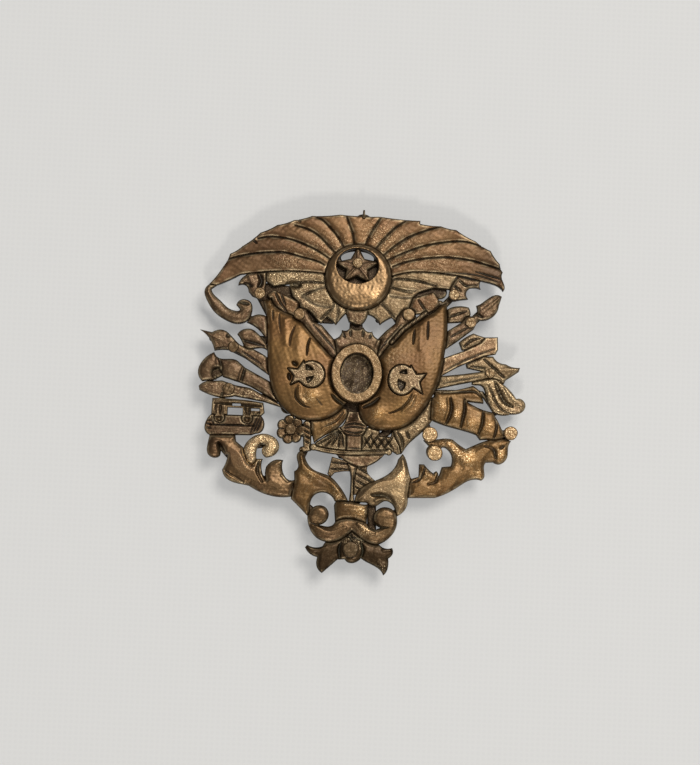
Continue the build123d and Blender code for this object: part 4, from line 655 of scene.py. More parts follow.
relief({"name": "rightRays", "node": "right_rays", "finish": "goldBrass", "edge": 0.78, "shoulder": 0.64,
        "grainAndGlint": 0.30,
        "seams": [[(5.2, 20.5), (7.0, 20.6), (10.0, 20.3), (13.0, 19.5)],
            [(5.0, 19.0), (6.9, 18.6), (9.4, 18.5)], [(4.9, 17.4), (6.9, 17.2), (8.7, 17.2)],
            [(3.4, 15.9), (4.5, 14.9), (6.0, 13.3)]], "seamEdge": 0.8, "seamWidth": 0.7,
        "grooves": [([(5.2, 20.5), (7.0, 20.6), (10.0, 20.3), (13.0, 19.6)], 0.14, 0.4),
            ([(5.0, 19.0), (8.7, 18.1)], 0.14, 0.35),
            ([(3.4, 15.9), (4.5, 14.9), (5.8, 13.4)], 0.14, 0.35)]})
relief({"name": "centreTab", "node": "centre_tab", "finish": "weaponBrass", "edge": 0.78, "shoulder": 0.64,
        "grainAndGlint": 0.30})
relief({"name": "fanHook", "node": "fan_hook", "finish": "weaponBrass", "edge": 0.68, "shoulder": 0.92,
        "grainAndGlint": 0.18, "grooves": [([(-20.6, 14.9), (-22.2, 15.2)], 0.3, 0.35)],
        "ridges": [([(-27.9, 17.0), (-26.6, 14.6), (-24.4, 12.9), (-22.0, 12.5), (-20.9, 13.6)], 0.5,
            0.06)]})
relief({"name": "hookClaw", "node": "hook_claw", "finish": "weaponBrass", "edge": 0.73, "shoulder": 0.64,
        "grainAndGlint": 0.24,
        "grooves": [([(-19.0, 20.6), (-18.4, 19.2), (-18.9, 18.0)], 0.4, 0.7),
            ([(-21.4, 18.6), (-20.2, 18.2)], 0.3, 0.5)],
        "ridges": [([(-20.8, 20.2), (-20.2, 18.9)], 0.3, 0.12)]})
relief({"name": "endLeaf", "node": "end_leaf", "finish": "weaponBrass", "edge": 0.73, "shoulder": 0.64,
        "grainAndGlint": 0.30,
        "grooves": [([(17.2, 20.8), (18.6, 19.8), (20.6, 20.0)], 0.18, 0.4),
            ([(16.2, 19.8), (17.6, 18.8)], 0.16, 0.3)]})
relief({"name": "leftPennon", "node": "left_pennon", "finish": "fanBrass", "edge": 0.79, "shoulder": 0.64,
        "grainAndGlint": 0.24,
        "grooves": [([(-15.9, 17.3), (-15.0, 15.6), (-13.6, 13.7)], 0.16, 0.45),
            ([(-14.8, 17.0), (-14.0, 15.0)], 0.14, 0.3)]})
relief({"name": "rightPennon", "node": "right_pennon", "finish": "fanBrass", "edge": 0.79,
        "shoulder": 0.64, "grainAndGlint": 0.30, "grooves": [([(10.0, 16.9), (11.4, 14.9)], 0.16, 0.35)]})
relief({"name": "leftLeaf", "node": "left_leaf", "finish": "weaponBrass", "edge": 0.73, "shoulder": 0.64,
        "grainAndGlint": 0.18})
relief({"name": "rightLeaf", "node": "right_leaf", "finish": "weaponBrass", "edge": 0.73, "shoulder": 0.64,
        "grainAndGlint": 0.30, "grooves": [([(15.4, 13.9), (17.2, 14.6), (18.8, 15.2)], 0.16, 0.35)]})
relief({"name": "leftShield", "node": "left_shield", "finish": "weaponBrass", "edge": 0.70,
        "shoulder": 0.86, "grainAndGlint": 0.12,
        "grooves": [([(-21.6, 8.4), (-19.4, 7.9), (-17.6, 7.4)], 0.3, 0.4)]})
print("fan made")

# ---- weapons, balance and book on the left

relief({"name": "leftSpear", "node": "spear_left", "finish": "weaponBrass", "edge": 0.73, "shoulder": 0.70,
        "grainAndGlint": 0.21,
        "grooves": [([(-24.2, 8.9), (-23.4, 9.6)], 0.3, 0.4), ([(-26.4, 6.5), (-24.4, 6.9)], 0.2, 0.35),
            ([(-21.5, 6.3), (-18.0, 4.2)], 0.15, 0.25)],
        "ridges": [([(-28.6, 9.8), (-25.4, 8.2)], 0.3, 0.12)]})
relief({"name": "mace", "node": "mace", "finish": "weaponBrass", "edge": 0.68, "shoulder": 1.03,
        "grainAndGlint": 0.15,
        "grooves": [([(-25.4, 4.9), (-25.0, 3.4), (-25.1, 1.9)], 0.2, 0.5),
            ([(-20.7, 3.6), (-21.4, 0.7)], 0.2, 0.4)],
        "ridges": [([(-21.1, 3.4), (-21.8, 1.0)], 0.22, 0.18), ([(-25.9, 4.7), (-25.6, 3.3)], 0.3, 0.14)],
        "swells": [(-27.4, 3.2, 1.2, 1.6, 0, 0.1), (-23.2, 3.0, 1.2, 1.2, 0, 0.12)]})
relief({"name": "dagger", "node": "dagger", "finish": "weaponBrass", "edge": 0.71, "shoulder": 0.75,
        "grainAndGlint": 0.24,
        "grooves": [([(-22.2, 0.3), (-20.6, 0.2), (-19.6, -0.3)], 0.28, 0.5),
            ([(-24.8, -2.0), (-24.6, -1.3)], 0.2, 0.3)], "grainAndGlintSpots": [(-19.5, -1.3, 1.8, 0.5)]})
relief({"name": "balance", "node": "balance", "finish": "goldBrass", "edge": 0.83, "shoulder": 0.30,
        "step": 0.1, "grainAndGlint": 0.27, "fillHoles": 0.3, "top": 0.86,
        "grooves": [([(-26.0, -3.2), (-17.6, -3.5)], 0.16, 0.5),
            ([(-25.7, -3.5), (-25.7, -5.1)], 0.14, 0.4), ([(-24.9, -3.5), (-24.9, -5.1)], 0.16, 0.5),
            ([(-20.6, -3.6), (-20.0, -5.1)], 0.14, 0.4), ([(-19.5, -3.6), (-19.7, -5.1)], 0.16, 0.5),
            ([(-17.9, -4.6), (-18.2, -5.1)], 0.2, 0.5), ([(-25.8, -5.7), (-24.2, -5.7)], 0.14, 0.2),
            ([(-20.8, -5.7), (-19.2, -5.7)], 0.14, 0.2)],
        "ridges": [([(-26.2, -2.75), (-20.0, -2.85), (-17.4, -3.1)], 0.2, 0.2),
            ([(-25.4, -3.5), (-25.9, -5.2)], 0.12, 0.22), ([(-24.5, -3.5), (-24.3, -5.2)], 0.12, 0.22),
            ([(-19.9, -3.6), (-20.5, -5.2)], 0.12, 0.22), ([(-19.1, -3.6), (-18.6, -5.2)], 0.12, 0.22)],
        "swells": [(-25.0, -6.0, 0.55, 0.4, 0, -0.7), (-20.0, -6.0, 0.55, 0.4, 0, -0.7)]})
relief({"name": "lawBook", "node": "law_book", "finish": "weaponBrass", "toneWithPaintedLight": 0.90, "edge": 0.78,
        "shoulder": 0.40, "step": 0.11, "grainAndGlint": 0.18,
        "grooves": [([(-26.6, -7.05), (-18.6, -7.0)], 0.14, 0.55),
            ([(-26.4, -5.6), (-26.0, -6.9)], 0.14, 0.35)] + [([(x, -5.5), (x - 1.1, -8.3)], 0.12,
            0.3) for x in (-17.2, -17.7, -18.2)] + [([(-27.3, y), (-26.4, y - 0.15)], 0.12,
            0.3) for y in (-6.2, -6.9, -7.6)],
        "ridges": [([(-26.4, -7.35), (-18.6, -7.3)], 0.13, 0.2),
            ([(-26.2, -8.55), (-18.8, -8.35)], 0.13, 0.2), ([(-24.0, -5.5), (-21.2, -5.5)], 0.13, 0.15)]})
petals = [math.radians(100 + 360 / 7 * k) for k in range(7)]
relief({"name": "rosette", "node": "rosette", "finish": "scrollBrass", "edge": 0.7, "shoulder": 0.35,
        "step": 0.11, "grainAndGlint": 0.2, "toneWithPaintedLight": 0.8, "top": 0.9,
        "grooves": [([(-12.1 + 1.2 * math.cos(a + 0.449), -7.4 + 1.2 * math.sin(a + 0.449)),
            (-12.1 + 2.7 * math.cos(a + 0.449), -7.4 + 2.7 * math.sin(a + 0.449))], 0.1,
            0.4) for a in petals] + [([(-9.7, -6.6 - k), (-8.4, -7.2 - k)], 0.12, 0.4) for k in (0.0, 0.9,
            1.8, 2.7)], "swells": [(-12.1, -7.4, 1.3, 1.3, 0, -0.3)]})
print("left side made")

# ---- capital, foliage, bow and stem

relief({"name": "capital", "node": "capital", "finish": "weaponBrass", "edge": 0.79, "shoulder": 0.40,
        "step": 0.11, "grainAndGlint": 0.15,
        "grooves": [([(-3.0, -6.5), (-0.7, -5.9), (1.6, -6.3)], 0.13, 0.4),
            ([(-2.6, -7.2), (-0.7, -7.6), (1.2, -7.2)], 0.13, 0.4),
            ([(-2.9, -6.8), (-0.7, -6.5), (1.4, -6.8)], 0.12, 0.3),
            ([(-2.2, -8.0), (0.9, -8.0)], 0.14, 0.4), ([(-2.0, -10.4), (0.8, -10.4)], 0.12, 0.35)],
        "ridges": [([(-3.1, -6.7), (-2.0, -5.9), (-0.7, -5.6), (0.6, -5.8), (1.6, -6.4)], 0.13, 0.2),
            ([(-3.0, -7.0), (-2.0, -7.7), (-0.7, -7.9), (0.6, -7.7), (1.3, -7.0)], 0.12, 0.16)],
        "swells": [(-1.2, -4.5, 0.9, 0.8, 0, -0.5)]})
veins = [(-7.2, -9.9), (-6.6, -8.6), (-5.6, -7.6), (-4.6, -9.9), (-5.8, -10.2), (-3.4, -10.2),
         (-2.4, -10.2), (-4.4, -7.0)]
relief({"name": "leftFoliage", "node": "foliage_left", "finish": "goldBrass", "toneWithPaintedLight": 0.75, "edge": 0.75,
        "shoulder": 0.48, "step": 0.11, "grainAndGlint": 0.56,
        "grooves": [([(-3.1, -7.4), tip], 0.13, 0.5) for tip in veins] + [([(-4.5, -13.0), (-1.4, -13.2)],
            0.15, 0.4), ([(-4.6, -14.2), (-1.4, -14.2)], 0.15, 0.4)],
        "ridges": [([(-3.0, -8.0), (-3.0, -9.8)], 0.16, 0.2), ([(-3.9, -8.4), (-5.0, -9.4)], 0.16, 0.2)]})
lattice = [([(1.0 + k, -8.2), (2.6 + k, -10.4)], 0.12, 0.45) for k in (0.0, 1.3, 2.6, 3.9)]
lattice += [([(2.6 + k, -7.6), (0.9 + k, -10.2)], 0.12, 0.45) for k in (0.0, 1.3, 2.6, 3.9)]
relief({"name": "rightFoliage", "node": "foliage_right", "finish": "goldBrass", "toneWithPaintedLight": 0.75, "edge": 0.75,
        "shoulder": 0.48, "step": 0.11, "grainAndGlint": 0.56,
        "grooves": lattice + [([(-0.2, y), (3.0, y - 1.6)], 0.15, 0.4) for y in (-13.6, -14.8, -16.0,
            -17.2)], "ridges": [([(6.2, -7.4), (7.2, -8.9), (7.6, -10.9)], 0.2, 0.15)]})
relief({"name": "bowString", "node": "bow_string", "finish": "goldBrass", "edge": 0.78, "shoulder": 0.40,
        "step": 0.1, "grainAndGlint": 0.12,
        "grooves": [([(-6.6, -10.75), (-2.5, -11.2), (5.0, -11.05)], 0.1, 0.35),
            ([(-2.0, -10.95), (4.9, -10.7)], 0.08, 0.25)],
        "ridges": [([(-7.4, -10.5), (-4.0, -11.0), (0.0, -11.1), (4.9, -10.9)], 0.14, 0.18)],
        "grainAndGlintSpots": [(-7.9, -10.4, 0.7, 0.6), (5.7, -10.8, 0.7, 0.7)]})
relief({"name": "bowLimb", "node": "bow_limb", "finish": "weaponBrass", "edge": 0.78, "shoulder": 0.64,
        "grainAndGlint": 0.18,
        "ridges": [([(-4.0, -11.5), (-1.5, -12.8), (0.6, -13.4), (2.6, -12.9), (4.6, -11.5)], 0.14, 0.12)]})
relief({"name": "stem", "node": "stem", "finish": "goldBrass", "edge": 0.73, "shoulder": 0.35, "step": 0.1,
        "grainAndGlint": 0.24,
        "grooves": [([(-1.3, -13.6), (-0.95, -16.0), (-1.0, -19.8)], 0.1, 0.4),
            ([(-0.2, -13.6), (-0.45, -16.0), (-0.3, -19.8)], 0.1, 0.4)]})
print("lower middle made")

# ---- leaves and scrolls round the lower edge

relief({"name": "leftAcanthus", "node": "acanthus_left",
        "paintedLightAndTones": [(-8.0, -15.0, 0.9, 0.6), (-3.2, -18.0, 1.2, 0.5), (-6.0, -17.8, 1.2, -0.4)],
        "finish": "drapeBrass", "edge": 0.70, "shoulder": 1.03, "grainAndGlint": 0.18, "dome": (-7.5, -16.5, 60),
        "lump": 0.07, "lumpLength": 3.0,
        "ridges": [([(-10.0, -12.2), (-9.6, -13.8), (-8.0, -15.2), (-5.0, -16.4), (-2.4, -18.8)], 0.6,
            0.25)], "swells": [(-9.4, -17.0, 1.0, 2.6, 15, 0.1), (-5.8, -17.6, 2.0, 0.8, -10, -0.25)],
        "grainAndGlintSpots": [(-8.0, -15.2, 1.0, 0.5), (-3.2, -18.2, 1.4, 0.6), (-9.9, -12.4, 0.8, 0.5)]})
# the strong tone spot at (8.4, -15.2) is a painted highlight on the leaf's bulge
relief({"name": "rightAcanthus", "node": "acanthus_right",
        "paintedLightAndTones": [(8.4, -15.2, 1.3, 2.0), (1.2, -18.6, 1.2, -0.4), (4.6, -18.6, 1.2, -0.5)],
        "finish": "goldBrass", "toneWithPaintedLight": 1.50, "edge": 0.70, "shoulder": 1.03, "grainAndGlint": 0.24,
        "dome": (6.0, -16.5, 60), "lump": 0.07, "lumpLength": 3.0,
        "grooves": [([(3.0, -18.6), (5.0, -18.7), (6.2, -19.4), (7.0, -21.2)], 0.5, 0.6)],
        "ridges": [([(8.2, -12.2), (8.4, -14.2), (6.4, -16.2), (3.0, -17.2), (0.6, -19.4)], 0.6, 0.22),
            ([(3.6, -19.6), (5.2, -19.2), (6.4, -20.2)], 0.4, 0.3)],
        "swells": [(8.2, -15.2, 1.0, 1.2, 0, 0.12)],
        "grainAndGlintSpots": [(8.4, -15.0, 1.4, 0.6), (8.6, -19.6, 1.0, 0.4)]})
relief({"name": "volute", "node": "volute", "finish": "goldBrass", "toneWithPaintedLight": 2.0, "edge": 0.67,
        "shoulder": 0.81, "step": 0.125, "grainAndGlint": 0.9,
        "grooves": [([(-18.0, -12.6), (-17.8, -11.2), (-17.2, -10.4), (-16.6, -10.5)], 0.25, 0.8)],
        "swells": [(-15.8, -10.9, 1.2, 1.2, 0, 0.1)], "grit": 0.028})
relief({"name": "leftScroll", "node": "left_scroll",
        "paintedLightAndTones": [(-19.4, -13.0, 1.0, 0.7), (-22.4, -16.3, 0.8, 0.8), (-17.0, -16.0, 0.5, 0.9),
            (-26.0, -10.6, 1.4, -0.25)], "finish": "scrollBrass", "edge": 0.68, "shoulder": 1.24,
        "grainAndGlint": 0.09, "lump": 0.08, "lumpLength": 3.5,
        "grooves": [([(-24.9, -10.4), (-24.4, -11.6), (-24.0, -12.8)], 0.35, 0.9),
            ([(-23.6, -15.2), (-21.8, -16.3), (-20.2, -17.3)], 0.2, 0.45),
            ([(-17.6, -13.4), (-17.7, -15.2), (-16.9, -17.0)], 0.3, 0.45)],
        "ridges": [([(-22.8, -15.5), (-21.4, -16.6), (-20.0, -17.5)], 0.2, 0.2),
            ([(-17.5, -15.3), (-16.5, -16.8)], 0.2, 0.22),
            ([(-25.4, -9.4), (-22.4, -12.4), (-19.0, -15.4), (-14.0, -17.6)], 1.3, 0.2),
            ([(-13.4, -15.6), (-12.2, -16.8)], 0.3, 0.2)],
        "grainAndGlintSpots": [(-19.2, -13.2, 1.3, 0.9), (-20.0, -11.6, 0.9, 0.7), (-13.6, -13.6, 1.0, 0.6)]})
# the strong tone spot at (20.2, -11.3) is a painted highlight on the scroll
relief({"name": "rightScroll", "node": "right_scroll",
        "paintedLightAndTones": [(20.2, -11.3, 1.0, 1.6), (16.6, -8.9, 1.2, 0.7), (18.0, -10.3, 1.2, 0.6),
            (26.0, -10.8, 0.8, 0.8), (22.2, -14.4, 0.8, 0.8)], "finish": "drapeBrass", "toneWithPaintedLight": 1.15,
        "edge": 0.68, "shoulder": 1.14, "grainAndGlint": 0.18, "lump": 0.08, "lumpLength": 3.5,
        "grooves": [([(12.3, -13.2), (11.8, -14.8), (11.0, -15.8), (9.8, -16.2)], 0.22, 0.45),
            ([(14.6, -14.6), (14.2, -15.9), (12.9, -16.3)], 0.22, 0.4),
            ([(22.9, -9.0), (24.4, -9.6), (24.9, -11.2)], 0.3, 0.35),
            ([(26.4, -8.9), (25.6, -9.4)], 0.2, 0.3)],
        "ridges": [([(12.0, -14.8), (11.2, -15.9), (9.6, -16.4)], 0.16, 0.22),
            ([(14.7, -16.2), (13.2, -16.3)], 0.16, 0.2),
            ([(16.2, -8.6), (18.4, -10.6), (20.0, -11.6), (24.0, -9.2)], 0.9, 0.2),
            ([(19.6, -13.6), (15.6, -16.6), (10.4, -17.6)], 1.1, 0.15)],
        "swells": [(25.6, -10.6, 0.9, 1.1, 0, 0.1)],
        "grainAndGlintSpots": [(16.6, -8.9, 1.4, 0.9), (18.0, -10.3, 1.4, 0.9), (20.0, -11.3, 1.1, 1.0),
            (13.0, -14.6, 1.5, 0.6), (22.0, -14.4, 1.0, 0.6), (26.2, -10.6, 1.2, 0.5),
            (13.9, -10.7, 1.8, 0.5)]})
relief({"name": "claspBand", "node": "clasp_band",
        "paintedLightAndTones": [(1.2, -21.4, 1.0, 0.9), (-1.9, -20.5, 0.8, 0.4)], "finish": "drapeBrass", "toneWithPaintedLight": 0.75,
        "edge": 0.78, "shoulder": 0.70, "grainAndGlint": 0.15, "dome": (-0.7, -21.4, 14),
        "swells": [(-2.0, -20.6, 1.2, 0.6, 0, 0.1)],
        "grainAndGlintSpots": [(1.4, -21.4, 1.3, 0.9), (-1.8, -20.5, 0.9, 0.4)]})
relief({"name": "lowerScroll", "node": "lower_scroll",
        "paintedLightAndTones": [(2.0, -24.6, 0.8, 1.4), (0.0, -24.6, 1.0, -0.2)], "finish": "scrollBrass", "edge": 0.68,
        "shoulder": 0.92, "grainAndGlint": 0.12, "lump": 0.06, "lumpLength": 3.0,
        "grooves": [([(-7.9, -24.0), (-6.4, -24.4), (-5.0, -24.1), (-4.6, -22.8)], 0.2, 0.45),
            ([(3.7, -23.6), (4.6, -24.4), (6.0, -24.3)], 0.2, 0.45)],
        "ridges": [([(0.6, -23.8), (2.0, -24.8), (3.6, -25.4)], 0.3, 0.3),
            ([(-6.8, -24.5), (-5.6, -25.4), (-3.8, -25.7), (-1.6, -24.6)], 0.4, 0.2)],
        "swells": [(-6.4, -22.5, 1.3, 1.3, 0, 0.12), (5.3, -22.4, 1.4, 1.3, 0, 0.12)],
        "grainAndGlintSpots": [(2.2, -24.6, 1.4, 0.7)]})
relief({"name": "ribbonBow", "node": "ribbon_bow", "finish": "bowBrass", "edge": 0.76, "shoulder": 0.81,
        "grainAndGlint": 0.05, "rubbed": 0.2,
        "grooves": [([(-2.3, -27.4), (-2.6, -28.6), (-2.4, -30.2)], 0.25, 0.35),
            ([(1.3, -27.2), (1.7, -28.6), (1.4, -29.9)], 0.25, 0.35),
            ([(-2.2, -26.0), (0.0, -26.4), (2.0, -27.0)], 0.18, 0.35),
            ([(-0.6, -25.6), (-0.5, -27.2)], 0.18, 0.3)],
        "ridges": [([(-8.4, -28.2), (-6.8, -28.8), (-5.0, -28.3)], 0.25, 0.18),
            ([(5.2, -28.4), (6.6, -28.3)], 0.25, 0.18), ([(5.2, -31.6), (4.6, -30.4)], 0.4, 0.18)],
        "swells": [(-0.4, -30.3, 0.9, 0.5, 0, 0.1), (-4.8, -29.6, 1.8, 1.2, 30, 0.12),
            (4.0, -29.2, 1.8, 1.0, -20, 0.12)],
        "grainAndGlintSpots": [(0.6, -26.6, 1.4, 0.7), (-1.6, -26.4, 1.0, 0.6), (5.2, -31.6, 0.9, 0.7)]})
print("lower edge made")

# ---- weapons on the right

relief({"name": "rightSpear", "node": "spear_right", "finish": "weaponBrass", "edge": 0.73,
        "shoulder": 0.70, "grainAndGlint": 0.30,
        "grooves": [([(20.6, 14.8), (21.6, 14.2)], 0.25, 0.4), ([(16.0, 10.4), (19.4, 12.4)], 0.14, 0.2)],
        "ridges": [([(21.2, 14.8), (22.8, 16.2), (24.6, 17.8)], 0.3, 0.14)]})
relief({"name": "rightFeather", "node": "right_feather", "finish": "goldBrass", "edge": 0.73,
        "shoulder": 0.58, "grainAndGlint": 0.48,
        "grooves": [([(18.4, 8.6), (19.8, 9.9), (21.4, 10.4)], 0.16, 0.35)]})
relief({"name": "board", "node": "board", "finish": "weaponBrass", "toneWithPaintedLight": 1.6, "edge": 0.85,
        "shoulder": 0.35, "grainAndGlint": 0.21, "lump": 0.03,
        "grooves": [([(15.2, 4.2), (19.0, 6.4), (24.0, 8.6)], 0.14, 0.18)]})
relief({"name": "arrow", "node": "arrow", "finish": "goldBrass", "edge": 0.73, "shoulder": 0.64,
        "grainAndGlint": 0.33,
        "grooves": [([(22.2, 6.6), (24.6, 4.6), (26.0, 3.4)], 0.2, 0.4),
            ([(14.6, 1.9), (21.6, 3.4)], 0.12, 0.2), ([(20.0, 5.2), (22.4, 5.0)], 0.2, 0.35)],
        "ridges": [([(23.6, 4.2), (26.0, 4.8), (28.4, 5.0)], 0.3, 0.2)]})
relief({"name": "hornBow", "node": "horn_bow", "finish": "goldBrass", "toneWithPaintedLight": 1.25, "edge": 0.73,
        "shoulder": 0.64, "grainAndGlint": 0.72,
        "grooves": [([(24.4, 2.6), (25.2, 0.8), (26.2, -0.9), (27.6, -1.7)], 0.35, 0.6),
            ([(22.9, 2.1), (23.8, 0.7), (24.5, -0.9), (25.6, -2.3), (27.0, -3.0)], 0.14, 0.45)],
        "ridges": [([(26.2, 1.6), (27.8, -0.2), (29.2, -1.6)], 0.4, 0.16)], "grit": 0.026})
# tone spots on the horn's bulges are painted highlights
relief({"name": "cornucopia", "node": "cornucopia",
        "paintedLightAndTones": [(17.6, -3.4, 0.8, 1.1), (20.3, -5.0, 0.8, 0.8), (23.2, -5.4, 0.9, 1.0),
            (14.8, -2.2, 0.7, 0.8), (19.0, 0.2, 3.0, -0.2)], "finish": "drapeBrass", "toneWithPaintedLight": 1.10,
        "edge": 0.68, "shoulder": 1.24, "grainAndGlint": 0.15,
        "grooves": [([(16.4, -0.6), (16.7, -2.6), (16.2, -4.4), (15.6, -5.5)], 0.2, 0.6),
            ([(19.0, -0.8), (19.0, -3.0), (18.4, -6.0)], 0.2, 0.6),
            ([(22.4, -2.6), (22.3, -5.0), (21.6, -7.0)], 0.2, 0.65),
            ([(24.6, -3.4), (24.9, -5.4), (24.4, -7.8)], 0.18, 0.4),
            ([(14.4, 0.2), (18.0, 0.5), (20.8, 0.6), (22.4, -0.6)], 0.2, 0.35)],
        "ridges": [([(18.0, 1.0), (20.4, 1.3), (21.9, 0.2)], 0.3, 0.15),
            ([(15.9, -0.8), (16.1, -2.6), (15.6, -4.6)], 0.3, 0.12)],
        "swells": [(17.7, -3.6, 0.8, 1.4, 0, 0.14), (20.4, -4.8, 1.0, 1.3, 0, 0.16),
            (23.4, -5.6, 0.8, 1.6, 0, 0.12), (15.0, -2.4, 0.7, 1.2, 0, 0.12)],
        "grainAndGlintSpots": [(14.8, -2.2, 0.9, 0.7), (17.5, -3.4, 1.0, 0.8), (20.2, -5.0, 0.9, 0.7),
            (23.2, -5.6, 0.9, 0.7)]})
print("right side made")


# ---- rivets, wires and ring

# a turned head: radius and height along a profile, carried round by u, with a little wobble
def turned(name, heads, finish, node):
    parts, faces, crests, glintingGrains, paintedLightAndTones, first = [], [], [], [], [], 0
    u = np.linspace(0, 2 * math.pi, 48, endpoint=False)[:, None]
    for number, (x, y, radius, seat, rear) in enumerate(heads):
        top = seat + headHeight
        profile = [(0.001, rear), (shankRadius, rear), (shankRadius, seat), (radius * 0.97, seat),
                   (radius, seat + 0.12), (radius * 0.99, top - 0.22), (radius * 0.94, top - 0.08)]
        profile += [(radius * s, top - 0.03 * s ** 2) for s in np.linspace(0.86, 0.12, 9)] + [(0.001, top)]
        r, z = np.array(profile).T
        wobble = 1 + 0.02 * np.sin(3 * u + number) + 0.015 * np.sin(5 * u + 2 * number)
        r = np.where(z > seat - 0.01, r * wobble, r)
        z = np.tile(z, (len(u), 1))
        place = np.column_stack([(x + r * np.cos(u)).ravel(), (y + r * np.sin(u)).ravel()])
        flat = z.ravel() > top - 0.1
        lift = np.where(flat, 0.03 * waves(place, 0.8, 40 + number) - 0.03, 0)
        parts.append(np.column_stack([place, z.ravel() + lift]))
        faces += (gridFaces(len(u), len(profile), closedRows=True) + first).tolist()
        ring = first + np.arange(len(u)) * len(profile)
        faces += [ring[::-1].tolist(), (ring + len(profile) - 1).tolist()]
        # head sides up to 0.3 mm over the seat, and the shank, get low crest: painted shade low on each head
        crests.append(np.where(z.ravel() > seat + 0.3, 1.0, 0.3))
        glintingGrains.append(np.where(flat, headGrain[number], 0.3))
        paintedLightAndTones.append(np.full(len(parts[-1]), headTone[number]))
        first += len(parts[-1])
    makeObject(name, np.concatenate(parts), faces,
               {"crest": np.concatenate(crests), "grainAndGlint": np.concatenate(glintingGrains),
                "toneWithPaintedLight": np.concatenate(paintedLightAndTones)},
               finishes[finish], node=node)


def pieceCentres(node):
    # centre, radius and seat of each separate head of a node, from its own corners
    corners, triangles = nodeMesh(node)
    group = np.arange(len(corners))
    while True:
        lowest = group[triangles].min(axis=1)
        before = group.copy()
        for side in range(3):
            np.minimum.at(group, triangles[:, side], lowest)
        if (group == before).all():
            break
    heads = []
    for label in np.unique(group):
        part = corners[group == label]
        low, high = part.min(axis=0), part.max(axis=0)
        heads.append(((low[0] + high[0]) / 2, (low[1] + high[1]) / 2, (high[0] - low[0]) / 2,
                      high[2] - headHeight, low[2]))
    return heads


headHeight, shankRadius = 0.7, 0.4
heads = sorted(pieceCentres("rivets"))
headGrain = [0.9 if x > 11 or y > 16 else 0.35 for x, y, radius, seat, rear in heads]
headTone = [1.45 if x > 11 and y < 0 else 0.36 if y < -20 else 0.5 if x < -11.5 and y < 9 else 0.85
            for x, y, radius, seat, rear in heads]
turned("rivetHeads", heads, "filedBrass", "rivets")


# round wire along a path: each point carries a circle r (cos v N + sin v B) square to the path
def wire(path, radius, closed=False, sides=20):
    path = np.asarray(path, float)
    ahead = np.roll(path, -1, axis=0) - np.roll(path, 1, axis=0)
    if not closed:
        ahead[0], ahead[-1] = path[1] - path[0], path[-1] - path[-2]
    ahead /= np.linalg.norm(ahead, axis=1)[:, None]
    turn = np.cross(ahead[len(ahead) // 4], ahead[len(ahead) // 2])
    square = turn / np.linalg.norm(turn) if np.linalg.norm(turn) > 1e-6 else np.array([0.0, 0.0, 1.0])
    normal = np.cross(square, ahead)
    normal /= np.linalg.norm(normal, axis=1)[:, None]
    binormal = np.cross(ahead, normal)
    v = np.linspace(0, 2 * math.pi, sides, endpoint=False)
    rings = path[:, None] + radius * (np.cos(v)[None, :, None] * normal[:, None]
                                      + np.sin(v)[None, :, None] * binormal[:, None])
    corners = rings.reshape(-1, 3)
    faces = gridFaces(len(path), sides, closedRows=closed, closedColumns=True)[:, ::-1].tolist()
    if not closed:
        faces += [list(range(sides))[::-1], list(range(len(corners) - sides, len(corners)))]
    crest = 0.6 + 0.3 * waves(corners[:, :2], 1.5, 60)
    return corners, faces, np.clip(crest, 0, 1)


def joined(name, parts, finish, node, body):
    corners, faces, crests, first = [], [], [], 0
    for part, partFaces, crest in parts:
        corners.append(part)
        faces += [[first + corner for corner in face] for face in partFaces]
        crests.append(crest)
        first += len(part)
    corners = np.concatenate(corners)
    makeObject(name, corners, faces, {"crest": np.concatenate(crests), "grainAndGlint": np.full(len(corners), 0.35)},
               finishes[finish], body=body, node=node)


low, high = [np.array(corner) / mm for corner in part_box("hanging_ring")]
pivot = np.array(next(j for j in frame["joints"] if j["name"] == "ring_swing")["pos_m"]) / mm
ringWire = 0.2
ringBend = (high[0] - low[0]) / 2 - ringWire
droop = math.radians(55)
u = np.linspace(0, 2 * math.pi, 96, endpoint=False)
away = ringBend * (1 - np.cos(u))
ringPath = pivot - np.column_stack([ringBend * np.sin(u), away * math.cos(droop), away * math.sin(droop)])
joined("hangingRing", [wire(ringPath, ringWire, closed=True)], "wireBrass", "hanging_ring", "ring")

pinSettings = {"node": "split_pin", "wire": 0.6, "slit": 0.1, "eyeWire": 0.35, "eyeBend": 1.0}


